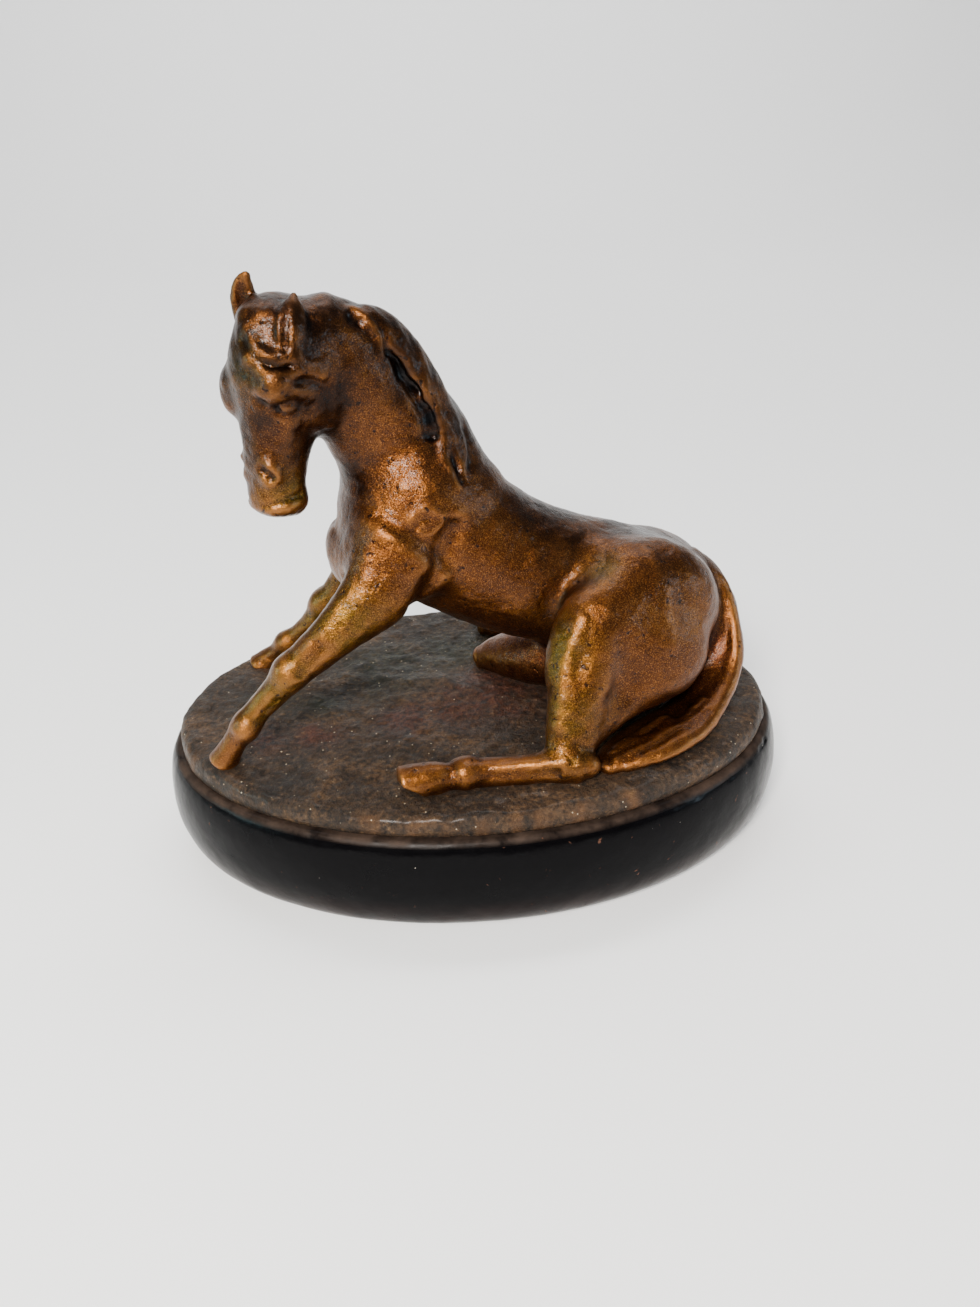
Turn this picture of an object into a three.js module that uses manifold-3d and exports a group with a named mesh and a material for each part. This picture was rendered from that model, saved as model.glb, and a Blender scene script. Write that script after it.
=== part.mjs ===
// A bronze statuette of a seated horse on a black oval wooden plinth.
// Millimetres, +Z up. The origin is on the surface the plinth stands on, below its middle.
// -X is the way the horse faces, -Y is its left (near) side.
import * as THREE from 'three';
import { LoftGeometry } from 'three/addons/geometries/LoftGeometry.js';
import { mergeVertices } from 'three/addons/utils/BufferGeometryUtils.js';
import Module from 'manifold-3d';

const wasm = await Module();
wasm.setup();

// Driving dimensions
const figureHeight = 165;       // soles of the hooves to the tips of the ears
const rimMargin = 12.4;         // from the figure's footprint to the rim of the ground casting
const shoulderWidth = 6.6;      // ledge of the plinth around the ground casting
const baizeThickness = 1;
const plinthHeight = 40.7;
const plinthTopRounding = 6;    // how far the cushion-shaped side pulls in at the top
const plinthFootRounding = 9;
const groundThickness = 7.4;    // whole height of the ground casting
const groundPlate = 3.6;        // thickness of its top plate
const groundWall = 5;           // width of its rim
const castingWall = 3.6;        // wall of the hollow castings
const gap = 0.3;                // clearance between pieces that touch
const studRadius = 1.5;
const studEngagement = 4.5;     // how far a stud screws into a casting
const washerThickness = 0.8;
const nutHeight = 2.6;
const nutRadius = 3.2;
const washerRadius = 3.6;
const nutClearance = 1.2;       // around a nut, in the plinth
const studTail = 1.2;           // what shows of a stud below its nut
const recessDepth = 9;          // holes bored in the plinth to clear the nuts
const screwRadius = 1.9;
const screwHeadRadius = 3;
const screwHeadHeight = 2.4;
const screwLength = 24;
const screwInset = 9;           // from the rim of the ground casting to a screw
const screwOffset = 4;          // from the long axis to a screw
const plugThickness = 1.4;
const pinRadius = 1.4;
const sleeveLength = 9;         // engagement of each sleeve joint

// Levels that follow
const plinthFoot = baizeThickness + gap;
const plinthTop = plinthFoot + plinthHeight;
const groundFoot = plinthTop + gap;
const groundTop = groundFoot + groundThickness;
const soleLevel = groundTop + gap;

// The body forms below are drawn for a figure of this height, then scaled.
const drawnHeight = 165;
const figureScale = figureHeight / drawnHeight;
const footprintHalfLength = 106;
const footprintHalfWidth = 65.5;
const groundHalfLength = footprintHalfLength * figureScale + rimMargin;
const groundHalfWidth = footprintHalfWidth * figureScale + rimMargin;

// Body forms: rows of [x, y, height above the soles, half width, half depth]
const trunkStations = [
  [-41, 2, 69, 17, 19], [-26, 2, 76, 21.5, 26], [-9, 2, 71, 24, 28], [11, 2, 59, 25, 27],
  [33, 2, 50, 25, 26], [54, 2, 42, 24.5, 28], [74, 2, 35, 22, 26], [90, 1, 25, 16, 19],
];
const neckStations = [
  [-15, 2, 86, 18, 24.5], [-22, 1, 105, 15.5, 24], [-31, -2, 122, 13.5, 21.5],
  [-40, -7, 138, 12, 19], [-50, -11, 149, 11, 14],
];
const forelegNearStations = [
  [-24, -19, 74, 10, 17], [-36, -25, 61, 8.5, 13], [-50, -30, 50, 7, 9], [-60, -31.5, 40, 6, 6.8],
  [-66, -32, 34, 6, 6.2], [-71, -32.5, 29, 5, 5.2], [-78, -33, 22, 4.2, 4.6], [-84, -33.5, 16, 4.8, 5.4],
  [-89, -34, 10.5, 4.2, 4.4], [-93, -34, 6, 5, 5], [-97, -34, 1, 6.2, 6.4],
];
const forelegFarStations = [
  [-22, 22, 72, 10, 17], [-34, 26, 58, 8.5, 12], [-45, 29, 45, 7, 9], [-54, 31, 34, 6, 6.8],
  [-59, 32, 28, 6, 6.2], [-64, 33, 22, 5, 5.2], [-71, 35, 15, 4.2, 4.6], [-77, 36, 10, 4.8, 5.4],
  [-82, 37, 5.5, 4.2, 4.4], [-86, 38, 2, 5, 5], [-90, 38.5, -2, 6.2, 6.4],
];
const thighNearStations = [
  [60, -24, 46, 14, 22], [43, -33, 47, 12, 16], [36, -41, 36, 9, 14],
  [33, -47, 26, 7.5, 12], [30, -52, 16, 6.5, 10], [27, -56, 6, 6, 8],
];
const thighFarStations = [
  [66, 24, 36, 14, 20], [54, 32, 38, 12, 15], [52, 38, 29, 9, 13],
  [53, 43, 21, 7.5, 11.5], [54, 47, 14, 6.5, 9.5], [55, 50, 7, 6, 8.5],
];
const cannonNearStations = [
  [31, -58, 4, 6, 7], [22, -57.5, 4, 5.2, 5.6], [9, -57, 3, 4.4, 4.8], [-2, -56.5, 3, 4.8, 5.2],
  [-10, -56.5, 3, 5.4, 6], [-15, -57, 2.5, 4, 4.4], [-20, -57.5, 2.5, 5, 6.3], [-29, -58.5, 2.5, 3, 3.6],
];
const cannonFarStations = [
  [58, 52, 4, 6, 7], [50, 52, 4, 5.2, 5.6], [38, 52, 3, 4.4, 4.8], [30, 52, 3, 4.8, 5.2],
  [24, 52, 3, 5.4, 6], [19, 52, 2.5, 4, 4.4], [15, 52, 2.5, 5, 6.3], [7, 52, 2.5, 3, 3.6],
];
const tailStations = [
  [85, 2, 53, 5, 5], [92, 0, 47, 6, 5], [95, -6, 33, 9, 4.5], [94, -15, 20, 10, 4.5],
  [88, -24, 11, 11, 5], [79, -34, 6, 12, 5], [66, -43, 4, 12, 4.6], [53, -50, 2, 9, 4], [42, -56, 1, 4, 3],
];
const tailSide = [0.75, -0.6, 0.2];   // the broad way of the tail
const earStations = [[0, 4, 3], [5, 4.6, 3], [10, 3, 2], [13.5, 1, 0.8]];

// Head frame: the poll, and the directions to the muzzle, the horse's left and the forehead
const poll = [-60.5, -14, 156];
const headTurn = THREE.MathUtils.degToRad(42);
const headDrop = THREE.MathUtils.degToRad(82);
const facing = new THREE.Vector3(-Math.cos(headTurn), -Math.sin(headTurn), 0);
const up = new THREE.Vector3(0, 0, 1);
const headLeft = new THREE.Vector3(Math.sin(headTurn), -Math.cos(headTurn), 0);
const toMuzzle = facing.clone().multiplyScalar(Math.cos(headDrop)).addScaledVector(up, -Math.sin(headDrop));
const toForehead = facing.clone().multiplyScalar(Math.sin(headDrop)).addScaledVector(up, Math.cos(headDrop));

// [distance from the poll to the muzzle, offset to the forehead, half width, half depth]
const skullStations = [
  [2, -1, 11, 12], [11, -2, 14.5, 15.5], [22, -3, 15.5, 16.5], [33, -2.5, 13, 13.5],
  [43, -1.5, 10.6, 11], [52, -1, 9.6, 9.8], [60, -1, 10.4, 9.6],
];

const nearSide = [0, -1, 0];
const bladeTilt = [[0.8, 0, -0.6], [0, 1, 0], [0.6, 0, 0.8]];
const level = [[1, 0, 0], [0, 1, 0], [0, 0, 1]];
// Muscle forms: [centre, radii, directions of the radii]
const muscles = [
  [[-41, -8, 69], [12, 12, 14], level], [[-41, 12, 69], [12, 12, 14], level],
  [[-27, -13, 80], [17, 11, 27], bladeTilt], [[-26, 17, 79], [17, 11, 27], bladeTilt],
  [[30, 8, 12], [28, 18, 15], level],
];
const quarters = [
  [[66, -15, 42], [31, 19, 29], level],
  [[68, 17, 36], [28, 17, 25], level],
  [[76, 2, 20], [24, 20, 26], level],
];

const bronze = { color: 0x7a4a22, roughness: 0.42, metalness: 0.85 };
const bronzeDark = { color: 0x4a3320, roughness: 0.6, metalness: 0.7 };
const blackLacquer = { color: 0x100d0c, roughness: 0.25, metalness: 0.0 };
const greenBaize = { color: 0x23402c, roughness: 0.95, metalness: 0.0 };
const steel = { color: 0x8c8c8a, roughness: 0.4, metalness: 0.9 };

const statuette = new THREE.Group();

function addMesh(name, geometry, look) {
  const mesh = new THREE.Mesh(geometry, new THREE.MeshStandardMaterial(look));
  mesh.name = name;
  statuette.add(mesh);
  return mesh;
}

// ---- Solids -------------------------------------------------------------

function toSolid(geometry) {
  const bare = new THREE.BufferGeometry();
  bare.setAttribute('position', geometry.attributes.position);
  bare.setIndex(geometry.index);
  const merged = mergeVertices(bare, 1e-4);
  const vertProperties = Float32Array.from(merged.attributes.position.array);
  const triVerts = Uint32Array.from(merged.index.array);
  return new wasm.Manifold(new wasm.Mesh({ numProp: 3, vertProperties, triVerts }));
}

function toGeometry(solid) {
  const { vertProperties, triVerts } = solid.getMesh();
  const geometry = new THREE.BufferGeometry();
  geometry.setAttribute('position', new THREE.BufferAttribute(vertProperties, 3));
  geometry.setIndex(new THREE.BufferAttribute(triVerts, 1));
  geometry.computeVertexNormals();
  return geometry;
}

function joined(solids) {
  return solids.reduce((whole, solid) => whole.add(solid));
}

// A round bar from a point along a direction, as a solid
function bar(start, direction, length, radius, sides = 12) {
  const geometry = new THREE.CylinderGeometry(radius, radius, length, sides);
  const turn = new THREE.Quaternion().setFromUnitVectors(new THREE.Vector3(0, 1, 0), direction);
  const middle = start.clone().addScaledVector(direction, length / 2);
  geometry.applyQuaternion(turn);
  geometry.translate(middle.x, middle.y, middle.z);
  return toSolid(geometry);
}

// A cube on one side of a plane, touching the plane at the middle of a face
function cubeFrom(point, normal, size) {
  const geometry = new THREE.BoxGeometry(size, size, size);
  const turn = new THREE.Quaternion().setFromUnitVectors(up, normal);
  const middle = point.clone().addScaledVector(normal, size / 2);
  geometry.applyQuaternion(turn);
  geometry.translate(middle.x, middle.y, middle.z);
  return toSolid(geometry);
}

// Everything above a level
function above(level) {
  return cubeFrom(new THREE.Vector3(0, 0, level), up, 8 * groundHalfLength);
}

// ---- Swept forms --------------------------------------------------------

// Catmull-Rom curve through rows of numbers
function smoothRows(rows, steps) {
  const extend = (a, b) => a.map((value, i) => 2 * value - b[i]);
  const all = [extend(rows[0], rows[1]), ...rows, extend(rows.at(-1), rows.at(-2))];
  const out = [];
  for (let i = 1; i < all.length - 2; i++) {
    const [a, b, c, d] = all.slice(i - 1, i + 3);
    for (let k = 0; k < steps; k++) {
      const t = k / steps;
      const blend = (p, q, r, s) =>
        0.5 * (2 * q + (r - p) * t + (2 * p - 5 * q + 4 * r - s) * t * t + (3 * q - p - 3 * r + s) * t ** 3);
      out.push(b.map((_, j) => blend(a[j], b[j], c[j], d[j])));
    }
  }
  out.push(rows.at(-1));
  return out;
}

// A drawn point of the figure, at its place on the ground casting
function place(x, y, height) {
  return new THREE.Vector3(x * figureScale, y * figureScale, soleLevel + height * figureScale);
}

function headPoint(alongFace, left, forehead) {
  const point = place(...poll);
  point.addScaledVector(toMuzzle, alongFace * figureScale);
  point.addScaledVector(headLeft, left * figureScale);
  return point.addScaledVector(toForehead, forehead * figureScale);
}

// Stations of the curve: centre, tangent, and radii grown by a margin
function sweepFrames(centres, radii, grow) {
  return centres.map((centre, i) => {
    const before = centres[Math.max(i - 1, 0)];
    const after = centres[Math.min(i + 1, centres.length - 1)];
    const tangent = after.clone().sub(before).normalize();
    const [width, depth] = radii[i].map((r) => Math.max(r * figureScale + grow, 0.6));
    return { centre, tangent, width, depth };
  });
}

function ovalSection(frame, side, sides, shrink = 1, shift = 0) {
  const across = side.clone().addScaledVector(frame.tangent, -side.dot(frame.tangent)).normalize();
  const depthWay = new THREE.Vector3().crossVectors(frame.tangent, across);
  const centre = frame.centre.clone().addScaledVector(frame.tangent, shift);
  return Array.from({ length: sides }, (_, k) => {
    const angle = (2 * Math.PI * k) / sides;
    const point = centre.clone();
    point.addScaledVector(across, frame.width * shrink * Math.cos(angle));
    return point.addScaledVector(depthWay, frame.depth * shrink * Math.sin(angle));
  });
}

// A limb: oval sections along a smooth curve, with domed ends
function sweep(stations, side, { grow = 0, steps = 1, sides = 10, bulge = 0.6 } = {}) {
  const rows = smoothRows(stations, steps);
  const centres = rows.map(([x, y, height]) => place(x, y, height));
  const frames = sweepFrames(centres, rows.map((row) => row.slice(3)), grow);
  return skin(frames, side, sides, bulge);
}

function skin(frames, side, sides, bulge) {
  const sideVector = new THREE.Vector3(...side);
  const dome = [1.25, 0.75];
  const first = frames[0];
  const last = frames.at(-1);
  const reach = (frame) => bulge * Math.min(frame.width, frame.depth);
  const cap = (frame, f, way) => ovalSection(frame, sideVector, sides, Math.cos(f), way * reach(frame) * Math.sin(f));
  const start = dome.map((f) => cap(first, f, -1));
  const middle = frames.map((frame) => ovalSection(frame, sideVector, sides));
  const end = dome.toReversed().map((f) => cap(last, f, 1));
  const sections = [...start, ...middle, ...end];
  return toSolid(new LoftGeometry(sections, { closed: true, capStart: true, capEnd: true }));
}

// The point and direction of a limb's curve, counted in stations from its root
function pointAlong(stations, count) {
  const steps = 10;
  const rows = smoothRows(stations, steps);
  const index = Math.round(count * steps);
  const at = (i) => place(...rows[i].slice(0, 3));
  return { point: at(index), axis: at(index + 1).sub(at(index - 1)).normalize() };
}

function ellipsoid(centre, radii, axes, grow) {
  const geometry = new THREE.SphereGeometry(1, 12, 7);
  geometry.scale(...radii.map((r) => r * figureScale + grow));
  const basis = new THREE.Matrix4().makeBasis(...axes.map((axis) => new THREE.Vector3(...axis)));
  geometry.applyMatrix4(basis);
  geometry.translate(centre.x, centre.y, centre.z);
  return toSolid(geometry);
}

// ---- Forms of the horse -------------------------------------------------

const aboveSoles = above(soleLevel);

function coreForm(grow) {
  const masses = [...muscles, ...quarters];
  const forms = masses.map(([centre, radii, axes]) => ellipsoid(place(...centre), radii, axes, grow));
  return joined([sweep(trunkStations, nearSide, { grow, sides: 14 }), ...forms]);
}

// The hollow of the trunk: one space through the barrel and the quarters
function coreHollow() {
  const shrink = -castingWall;
  const forms = quarters.map(([centre, radii, axes]) => ellipsoid(place(...centre), radii, axes, shrink));
  return joined([sweep(trunkStations, nearSide, { grow: -castingWall, sides: 8 }), ...forms]);
}

function neckForm(grow) {
  return sweep(neckStations, nearSide, { grow, steps: 2 });
}

function skullForm() {
  const centres = skullStations.map(([along, forehead]) => headPoint(along, 0, forehead));
  const frames = sweepFrames(centres, skullStations.map((row) => row.slice(2)), 0);
  return skin(frames, headLeft.toArray(), 12, 0.6);
}

function cheekForm(side) {
  const axes = [toMuzzle, headLeft, toForehead].map((axis) => axis.toArray());
  return ellipsoid(headPoint(20, side * 8, -6), [13, 6, 10], axes, 0);
}

function earForm(side) {
  const root = headPoint(5, side * 8, 3);
  const lean = up.clone().addScaledVector(headLeft, side * 0.35).normalize();
  const centres = earStations.map((row) => root.clone().addScaledVector(lean, row[0] * figureScale));
  const frames = sweepFrames(centres, earStations.map((row) => row.slice(1)), 0);
  return skin(frames, headLeft.toArray(), 8, 0.5);
}

// ---- Sleeve joints ------------------------------------------------------

// Where each casting leaves the trunk, counted in stations, the size of its root there, and its sleeve
const joints = {
  neck: { stations: neckStations, count: 1, rootSize: 90, sleeve: 9, pins: 2, pinLength: 26 },
  foreleg_near: { stations: forelegNearStations, count: 1.4, rootSize: 70, sleeve: 4, pins: 1, pinLength: 14 },
  foreleg_far: { stations: forelegFarStations, count: 1.4, rootSize: 70, sleeve: 4, pins: 1, pinLength: 14 },
  hindleg_near: { stations: thighNearStations, count: 1.5, rootSize: 70, sleeve: 5, pins: 1, pinLength: 18 },
  hindleg_far: { stations: thighFarStations, count: 1.5, rootSize: 70, sleeve: 5, pins: 1, pinLength: 18 },
  tail: { stations: tailStations, count: 0.6, rootSize: 36, sleeve: 2.6, pins: 1, pinLength: 9 },
};

for (const joint of Object.values(joints)) {
  const { point, axis } = pointAlong(joint.stations, joint.count);
  joint.point = point;
  joint.axis = axis;
  joint.across = new THREE.Vector3(...nearSide).projectOnPlane(axis).normalize();
  joint.along = new THREE.Vector3().crossVectors(axis, joint.across);
}

function pinPlace(joint, index) {
  const depth = (sleeveLength * (index + 1)) / (joint.pins + 1);
  const middle = joint.point.clone().addScaledVector(joint.axis, -depth);
  return { middle, direction: index === 0 ? joint.across : joint.along };
}

function pinHoles(joint) {
  const holes = Array.from({ length: joint.pins }, (_, index) => {
    const { middle, direction } = pinPlace(joint, index);
    const length = joint.pinLength + 2 * gap;
    const start = middle.clone().addScaledVector(direction, -length / 2);
    return bar(start, direction, length, pinRadius + gap, 12);
  });
  return joined(holes);
}

// The bore that takes a joint's sleeve, from just past the sleeve's root to below its end
function socket(joint) {
  const start = joint.point.clone().addScaledVector(joint.axis, joint.sleeve / 2 + 2 * gap);
  const length = joint.sleeve / 2 + sleeveLength + 3 * gap;
  return bar(start, joint.axis.clone().negate(), length, joint.sleeve + gap);
}

// A cube around a form's root, up to a plane across its joint
function rootBlock(joint, face) {
  return cubeFrom(face, joint.axis.clone().negate(), joint.rootSize * figureScale);
}

// The root of a form, which belongs to the trunk
function stump(form, joint) {
  return form.intersect(rootBlock(joint, joint.point));
}

// The part of a form past its joint, with the sleeve that enters the trunk
function pastJoint(form, joint, others) {
  const face = joint.point.clone().addScaledVector(joint.axis, gap);
  const free = form.subtract(rootBlock(joint, face)).subtract(others);
  const root = face.clone().addScaledVector(joint.axis, joint.sleeve / 2);
  const length = sleeveLength + gap + joint.sleeve / 2;
  const sleeve = bar(root, joint.axis.clone().negate(), length, joint.sleeve);
  return free.add(sleeve).subtract(pinHoles(joint));
}

// ---- Castings -----------------------------------------------------------

const limbForms = {
  foreleg_near: sweep(forelegNearStations, nearSide, { bulge: 0.4 }),
  foreleg_far: sweep(forelegFarStations, nearSide, { bulge: 0.4 }),
  hindleg_near: joined([
    sweep(thighNearStations, [0, -1, 0.3], { steps: 2, bulge: 0.8 }),
    sweep(cannonNearStations, nearSide),
  ]),
  hindleg_far: joined([
    sweep(thighFarStations, [0, 1, 0.3], { steps: 2, bulge: 0.8 }),
    sweep(cannonFarStations, nearSide),
  ]),
};

const studs = {
  fore_near: place(-95.5, -34, 0),
  fore_far: place(-88, 38.5, 0),
  hock_near: place(30, -58, 0),
  hock_far: place(56, 52, 0),
  seat: place(76, 2, 0),
};

function studHole(spot) {
  const top = spot.clone().setZ(soleLevel + studEngagement + gap);
  return bar(top, up.clone().negate(), studEngagement + 4 * gap, studRadius + gap, 12);
}

function trunkCasting() {
  const stumps = [stump(neckForm(0), joints.neck)];
  for (const name of Object.keys(limbForms)) stumps.push(stump(limbForms[name], joints[name]));
  stumps.push(stump(sweep(tailStations, tailSide), joints.tail));
  const boss = bar(studs.seat, up, 2 * studEngagement, 3 * studRadius);
  const hollow = coreHollow().intersect(above(soleLevel + castingWall)).subtract(boss);
  let casting = joined([coreForm(0), ...stumps]).intersect(aboveSoles).subtract(hollow);
  for (const joint of Object.values(joints)) {
    casting = casting.subtract(socket(joint)).subtract(pinHoles(joint));
  }
  return casting.subtract(studHole(studs.seat));
}

function headNeckCasting() {
  const head = joined([skullForm(), cheekForm(1), cheekForm(-1), earForm(1), earForm(-1)]);
  const casting = pastJoint(joined([neckForm(0), head]), joints.neck, coreForm(gap));
  const start = joints.neck.point.clone().addScaledVector(joints.neck.axis, -sleeveLength - 1);
  const bore = bar(start, joints.neck.axis, 3.6 * sleeveLength, joints.neck.sleeve - castingWall);
  return casting.subtract(bore);
}

function limbCasting(name, studName) {
  const casting = pastJoint(limbForms[name], joints[name], coreForm(gap));
  return casting.intersect(aboveSoles).subtract(studHole(studs[studName]));
}

function tailCasting() {
  const hocks = joined([
    sweep(thighNearStations, [0, -1, 0.3], { grow: gap, steps: 2, bulge: 0.8 }),
    sweep(cannonNearStations, nearSide, { grow: gap }),
  ]);
  const tail = sweep(tailStations, tailSide);
  return pastJoint(tail, joints.tail, joined([coreForm(gap), hocks])).intersect(aboveSoles);
}

// ---- Ground and plinth --------------------------------------------------

function ovalRing(halfLength, halfWidth, z, sides = 48) {
  return Array.from({ length: sides }, (_, k) => {
    const angle = (2 * Math.PI * k) / sides;
    return new THREE.Vector3(halfLength * Math.cos(angle), halfWidth * Math.sin(angle), z);
  });
}

// An oval solid from rows of [inset from the oval, z], bottom to top
function ovalSolid(halfLength, halfWidth, profile) {
  const sections = profile.map(([inset, z]) => ovalRing(halfLength - inset, halfWidth - inset, z));
  return toSolid(new LoftGeometry(sections, { closed: true, capStart: true, capEnd: true }));
}

const screwSpots = [-1, 1].map((end) => new THREE.Vector3(end * (groundHalfLength - screwInset), screwOffset, groundTop));
const down = up.clone().negate();

function groundCasting() {
  const profile = [
    [0.8, groundFoot], [0, groundFoot + 1.2], [0.2, groundTop - 3], [1.2, groundTop - 1], [3, groundTop],
  ];
  const hollow = [[groundWall, groundFoot - 1], [groundWall, groundTop - groundPlate]];
  const tray = ovalSolid(groundHalfLength, groundHalfWidth, profile)
    .subtract(ovalSolid(groundHalfLength, groundHalfWidth, hollow));
  const bosses = screwSpots.map((spot) => bar(spot, down, groundThickness, 2 * screwHeadRadius));
  let casting = joined([tray, ...bosses]);
  for (const spot of screwSpots) {
    const headSpace = plugThickness + screwHeadHeight + gap;
    const above = spot.clone().setZ(groundTop + 1);
    casting = casting.subtract(bar(above, down, headSpace + 1, screwHeadRadius + gap));
    casting = casting.subtract(bar(above, down, groundThickness + 2, screwRadius + gap, 12));
  }
  for (const spot of Object.values(studs)) {
    const above = spot.clone().setZ(groundTop + 1);
    const seat = spot.clone().setZ(groundTop - groundPlate);
    casting = casting.subtract(bar(above, down, groundThickness, studRadius + gap, 12));
    casting = casting.subtract(bar(seat, down, groundThickness, washerRadius + gap));
  }
  return casting;
}

function plinthSolid() {
  const rings = 8;
  const middle = plinthFoot + plinthHeight / 2;
  const profile = Array.from({ length: rings + 1 }, (_, i) => {
    const turn = Math.PI * (i / rings - 0.5);
    const rounding = turn < 0 ? plinthFootRounding : plinthTopRounding;
    return [rounding * (1 - Math.cos(turn)), middle + (plinthHeight / 2) * Math.sin(turn)];
  });
  const halfLength = groundHalfLength + shoulderWidth;
  const halfWidth = groundHalfWidth + shoulderWidth;
  let plinth = ovalSolid(halfLength, halfWidth, profile);
  for (const spot of Object.values(studs)) {
    const mouth = spot.clone().setZ(plinthTop + 1);
    plinth = plinth.subtract(bar(mouth, down, recessDepth + 1, nutRadius + nutClearance));
  }
  for (const spot of screwSpots) {
    const mouth = spot.clone().setZ(plinthTop + 1);
    plinth = plinth.subtract(bar(mouth, down, screwLength, screwRadius + gap, 12));
  }
  return plinth;
}

function baizeSolid() {
  const inset = shoulderWidth + plinthFootRounding - 2;
  const profile = [[inset, 0], [inset, baizeThickness]];
  return ovalSolid(groundHalfLength + shoulderWidth, groundHalfWidth + shoulderWidth, profile);
}

// ---- Fixings ------------------------------------------------------------

function addUpright(name, geometry, look, spot, zMiddle) {
  geometry.rotateX(Math.PI / 2);
  const mesh = addMesh(name, geometry, look);
  mesh.position.set(spot.x, spot.y, zMiddle);
  return mesh;
}

function washerGeometry() {
  const outline = new THREE.Shape().absarc(0, 0, washerRadius, 0, 2 * Math.PI);
  outline.holes.push(new THREE.Path().absarc(0, 0, studRadius + gap, 0, 2 * Math.PI, true));
  const settings = { depth: washerThickness, bevelEnabled: false, curveSegments: 6 };
  return new THREE.ExtrudeGeometry(outline, settings);
}

function nutGeometry() {
  const corners = Array.from({ length: 6 }, (_, k) => {
    const angle = (Math.PI * k) / 3;
    return new THREE.Vector2(nutRadius * Math.cos(angle), nutRadius * Math.sin(angle));
  });
  const outline = new THREE.Shape(corners);
  outline.holes.push(new THREE.Path().absarc(0, 0, studRadius + gap, 0, 2 * Math.PI, true));
  return new THREE.ExtrudeGeometry(outline, { depth: nutHeight, bevelEnabled: false, curveSegments: 6 });
}

function addStud(name, spot) {
  const washerTop = groundTop - groundPlate - gap;
  const nutTop = washerTop - washerThickness - gap;
  const studFoot = nutTop - nutHeight - studTail;
  const length = soleLevel + studEngagement - studFoot;
  addUpright(`stud_${name}`, new THREE.CylinderGeometry(studRadius, studRadius, length, 12), steel, spot,
    studFoot + length / 2);
  const washer = addMesh(`stud_washer_${name}`, washerGeometry(), steel);
  washer.position.set(spot.x, spot.y, washerTop - washerThickness);
  const nut = addMesh(`stud_nut_${name}`, nutGeometry(), steel);
  nut.position.set(spot.x, spot.y, nutTop - nutHeight);
}

function addPins(name, joint) {
  for (let index = 0; index < joint.pins; index++) {
    const { middle, direction } = pinPlace(joint, index);
    const geometry = new THREE.CylinderGeometry(pinRadius, pinRadius, joint.pinLength, 12);
    const pin = addMesh(joint.pins > 1 ? `pin_${name}_${index + 1}` : `pin_${name}`, geometry, bronze);
    pin.position.copy(middle);
    pin.quaternion.setFromUnitVectors(new THREE.Vector3(0, 1, 0), direction);
  }
}

// A countersunk wood screw, drawn as a turned profile from the tip up
function screwGeometry() {
  const profile = [
    [0, 0], [screwRadius, 4], [screwRadius, screwLength - screwHeadHeight],
    [screwHeadRadius, screwLength - 0.6], [screwHeadRadius, screwLength], [0, screwLength],
  ];
  return new THREE.LatheGeometry(profile.map(([r, y]) => new THREE.Vector2(r, y)), 14);
}

function addScrew(name, spot) {
  const geometry = screwGeometry();
  geometry.translate(0, -screwLength, 0);
  addUpright(`screw_${name}`, geometry, steel, spot, groundTop - plugThickness - gap);
  const plug = new THREE.CylinderGeometry(screwHeadRadius, screwHeadRadius, plugThickness, 20);
  addUpright(`screw_plug_${name}`, plug, bronzeDark, spot, groundTop - plugThickness / 2);
}

// ---- The statuette ------------------------------------------------------

addMesh('baize_pad', toGeometry(baizeSolid()), greenBaize);
addMesh('plinth', toGeometry(plinthSolid()), blackLacquer);
addMesh('ground_casting', toGeometry(groundCasting()), bronzeDark);
addMesh('trunk_casting', toGeometry(trunkCasting()), bronze);
addMesh('head_neck_casting', toGeometry(headNeckCasting()), bronze);
addMesh('foreleg_near_casting', toGeometry(limbCasting('foreleg_near', 'fore_near')), bronze);
addMesh('foreleg_far_casting', toGeometry(limbCasting('foreleg_far', 'fore_far')), bronze);
addMesh('hindleg_near_casting', toGeometry(limbCasting('hindleg_near', 'hock_near')), bronze);
addMesh('hindleg_far_casting', toGeometry(limbCasting('hindleg_far', 'hock_far')), bronze);
addMesh('tail_casting', toGeometry(tailCasting()), bronze);
for (const [name, joint] of Object.entries(joints)) addPins(name, joint);
for (const [name, spot] of Object.entries(studs)) addStud(name, spot);
addScrew('front', screwSpots[0]);
addScrew('rear', screwSpots[1]);

export default statuette;
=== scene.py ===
"""A lacquered bronze statuette of a young horse sitting up on its haunches, on a cast
ground and a black oval plinth.

The horse is one continuous modelled form: masses, limbs and locks of hair are swept and
rounded forms that melt into each other, skinned as one fine surface and then divided
where its castings meet. The ground and the plinth are surfaces over two parameters."""
import bmesh
import bpy
import numpy as np
from mathutils import Matrix, Vector


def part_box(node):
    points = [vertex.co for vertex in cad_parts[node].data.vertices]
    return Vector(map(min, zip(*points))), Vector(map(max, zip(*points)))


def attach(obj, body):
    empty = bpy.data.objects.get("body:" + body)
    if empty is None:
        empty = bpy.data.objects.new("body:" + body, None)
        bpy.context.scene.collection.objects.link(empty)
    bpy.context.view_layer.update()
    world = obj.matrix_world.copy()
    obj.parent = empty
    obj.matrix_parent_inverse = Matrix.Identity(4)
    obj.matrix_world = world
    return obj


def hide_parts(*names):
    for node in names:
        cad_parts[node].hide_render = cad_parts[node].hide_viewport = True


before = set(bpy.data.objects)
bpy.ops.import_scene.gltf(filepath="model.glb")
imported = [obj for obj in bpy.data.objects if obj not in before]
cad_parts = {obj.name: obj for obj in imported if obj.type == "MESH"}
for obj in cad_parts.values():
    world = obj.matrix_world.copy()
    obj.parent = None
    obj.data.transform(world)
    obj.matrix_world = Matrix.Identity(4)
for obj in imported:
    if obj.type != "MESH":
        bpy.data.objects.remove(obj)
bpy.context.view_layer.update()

MM = 0.001
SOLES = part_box("foreleg_near_casting")[0][2]          # level of the soles of the hooves
GROUND_LOW, GROUND_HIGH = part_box("ground_casting")
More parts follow.
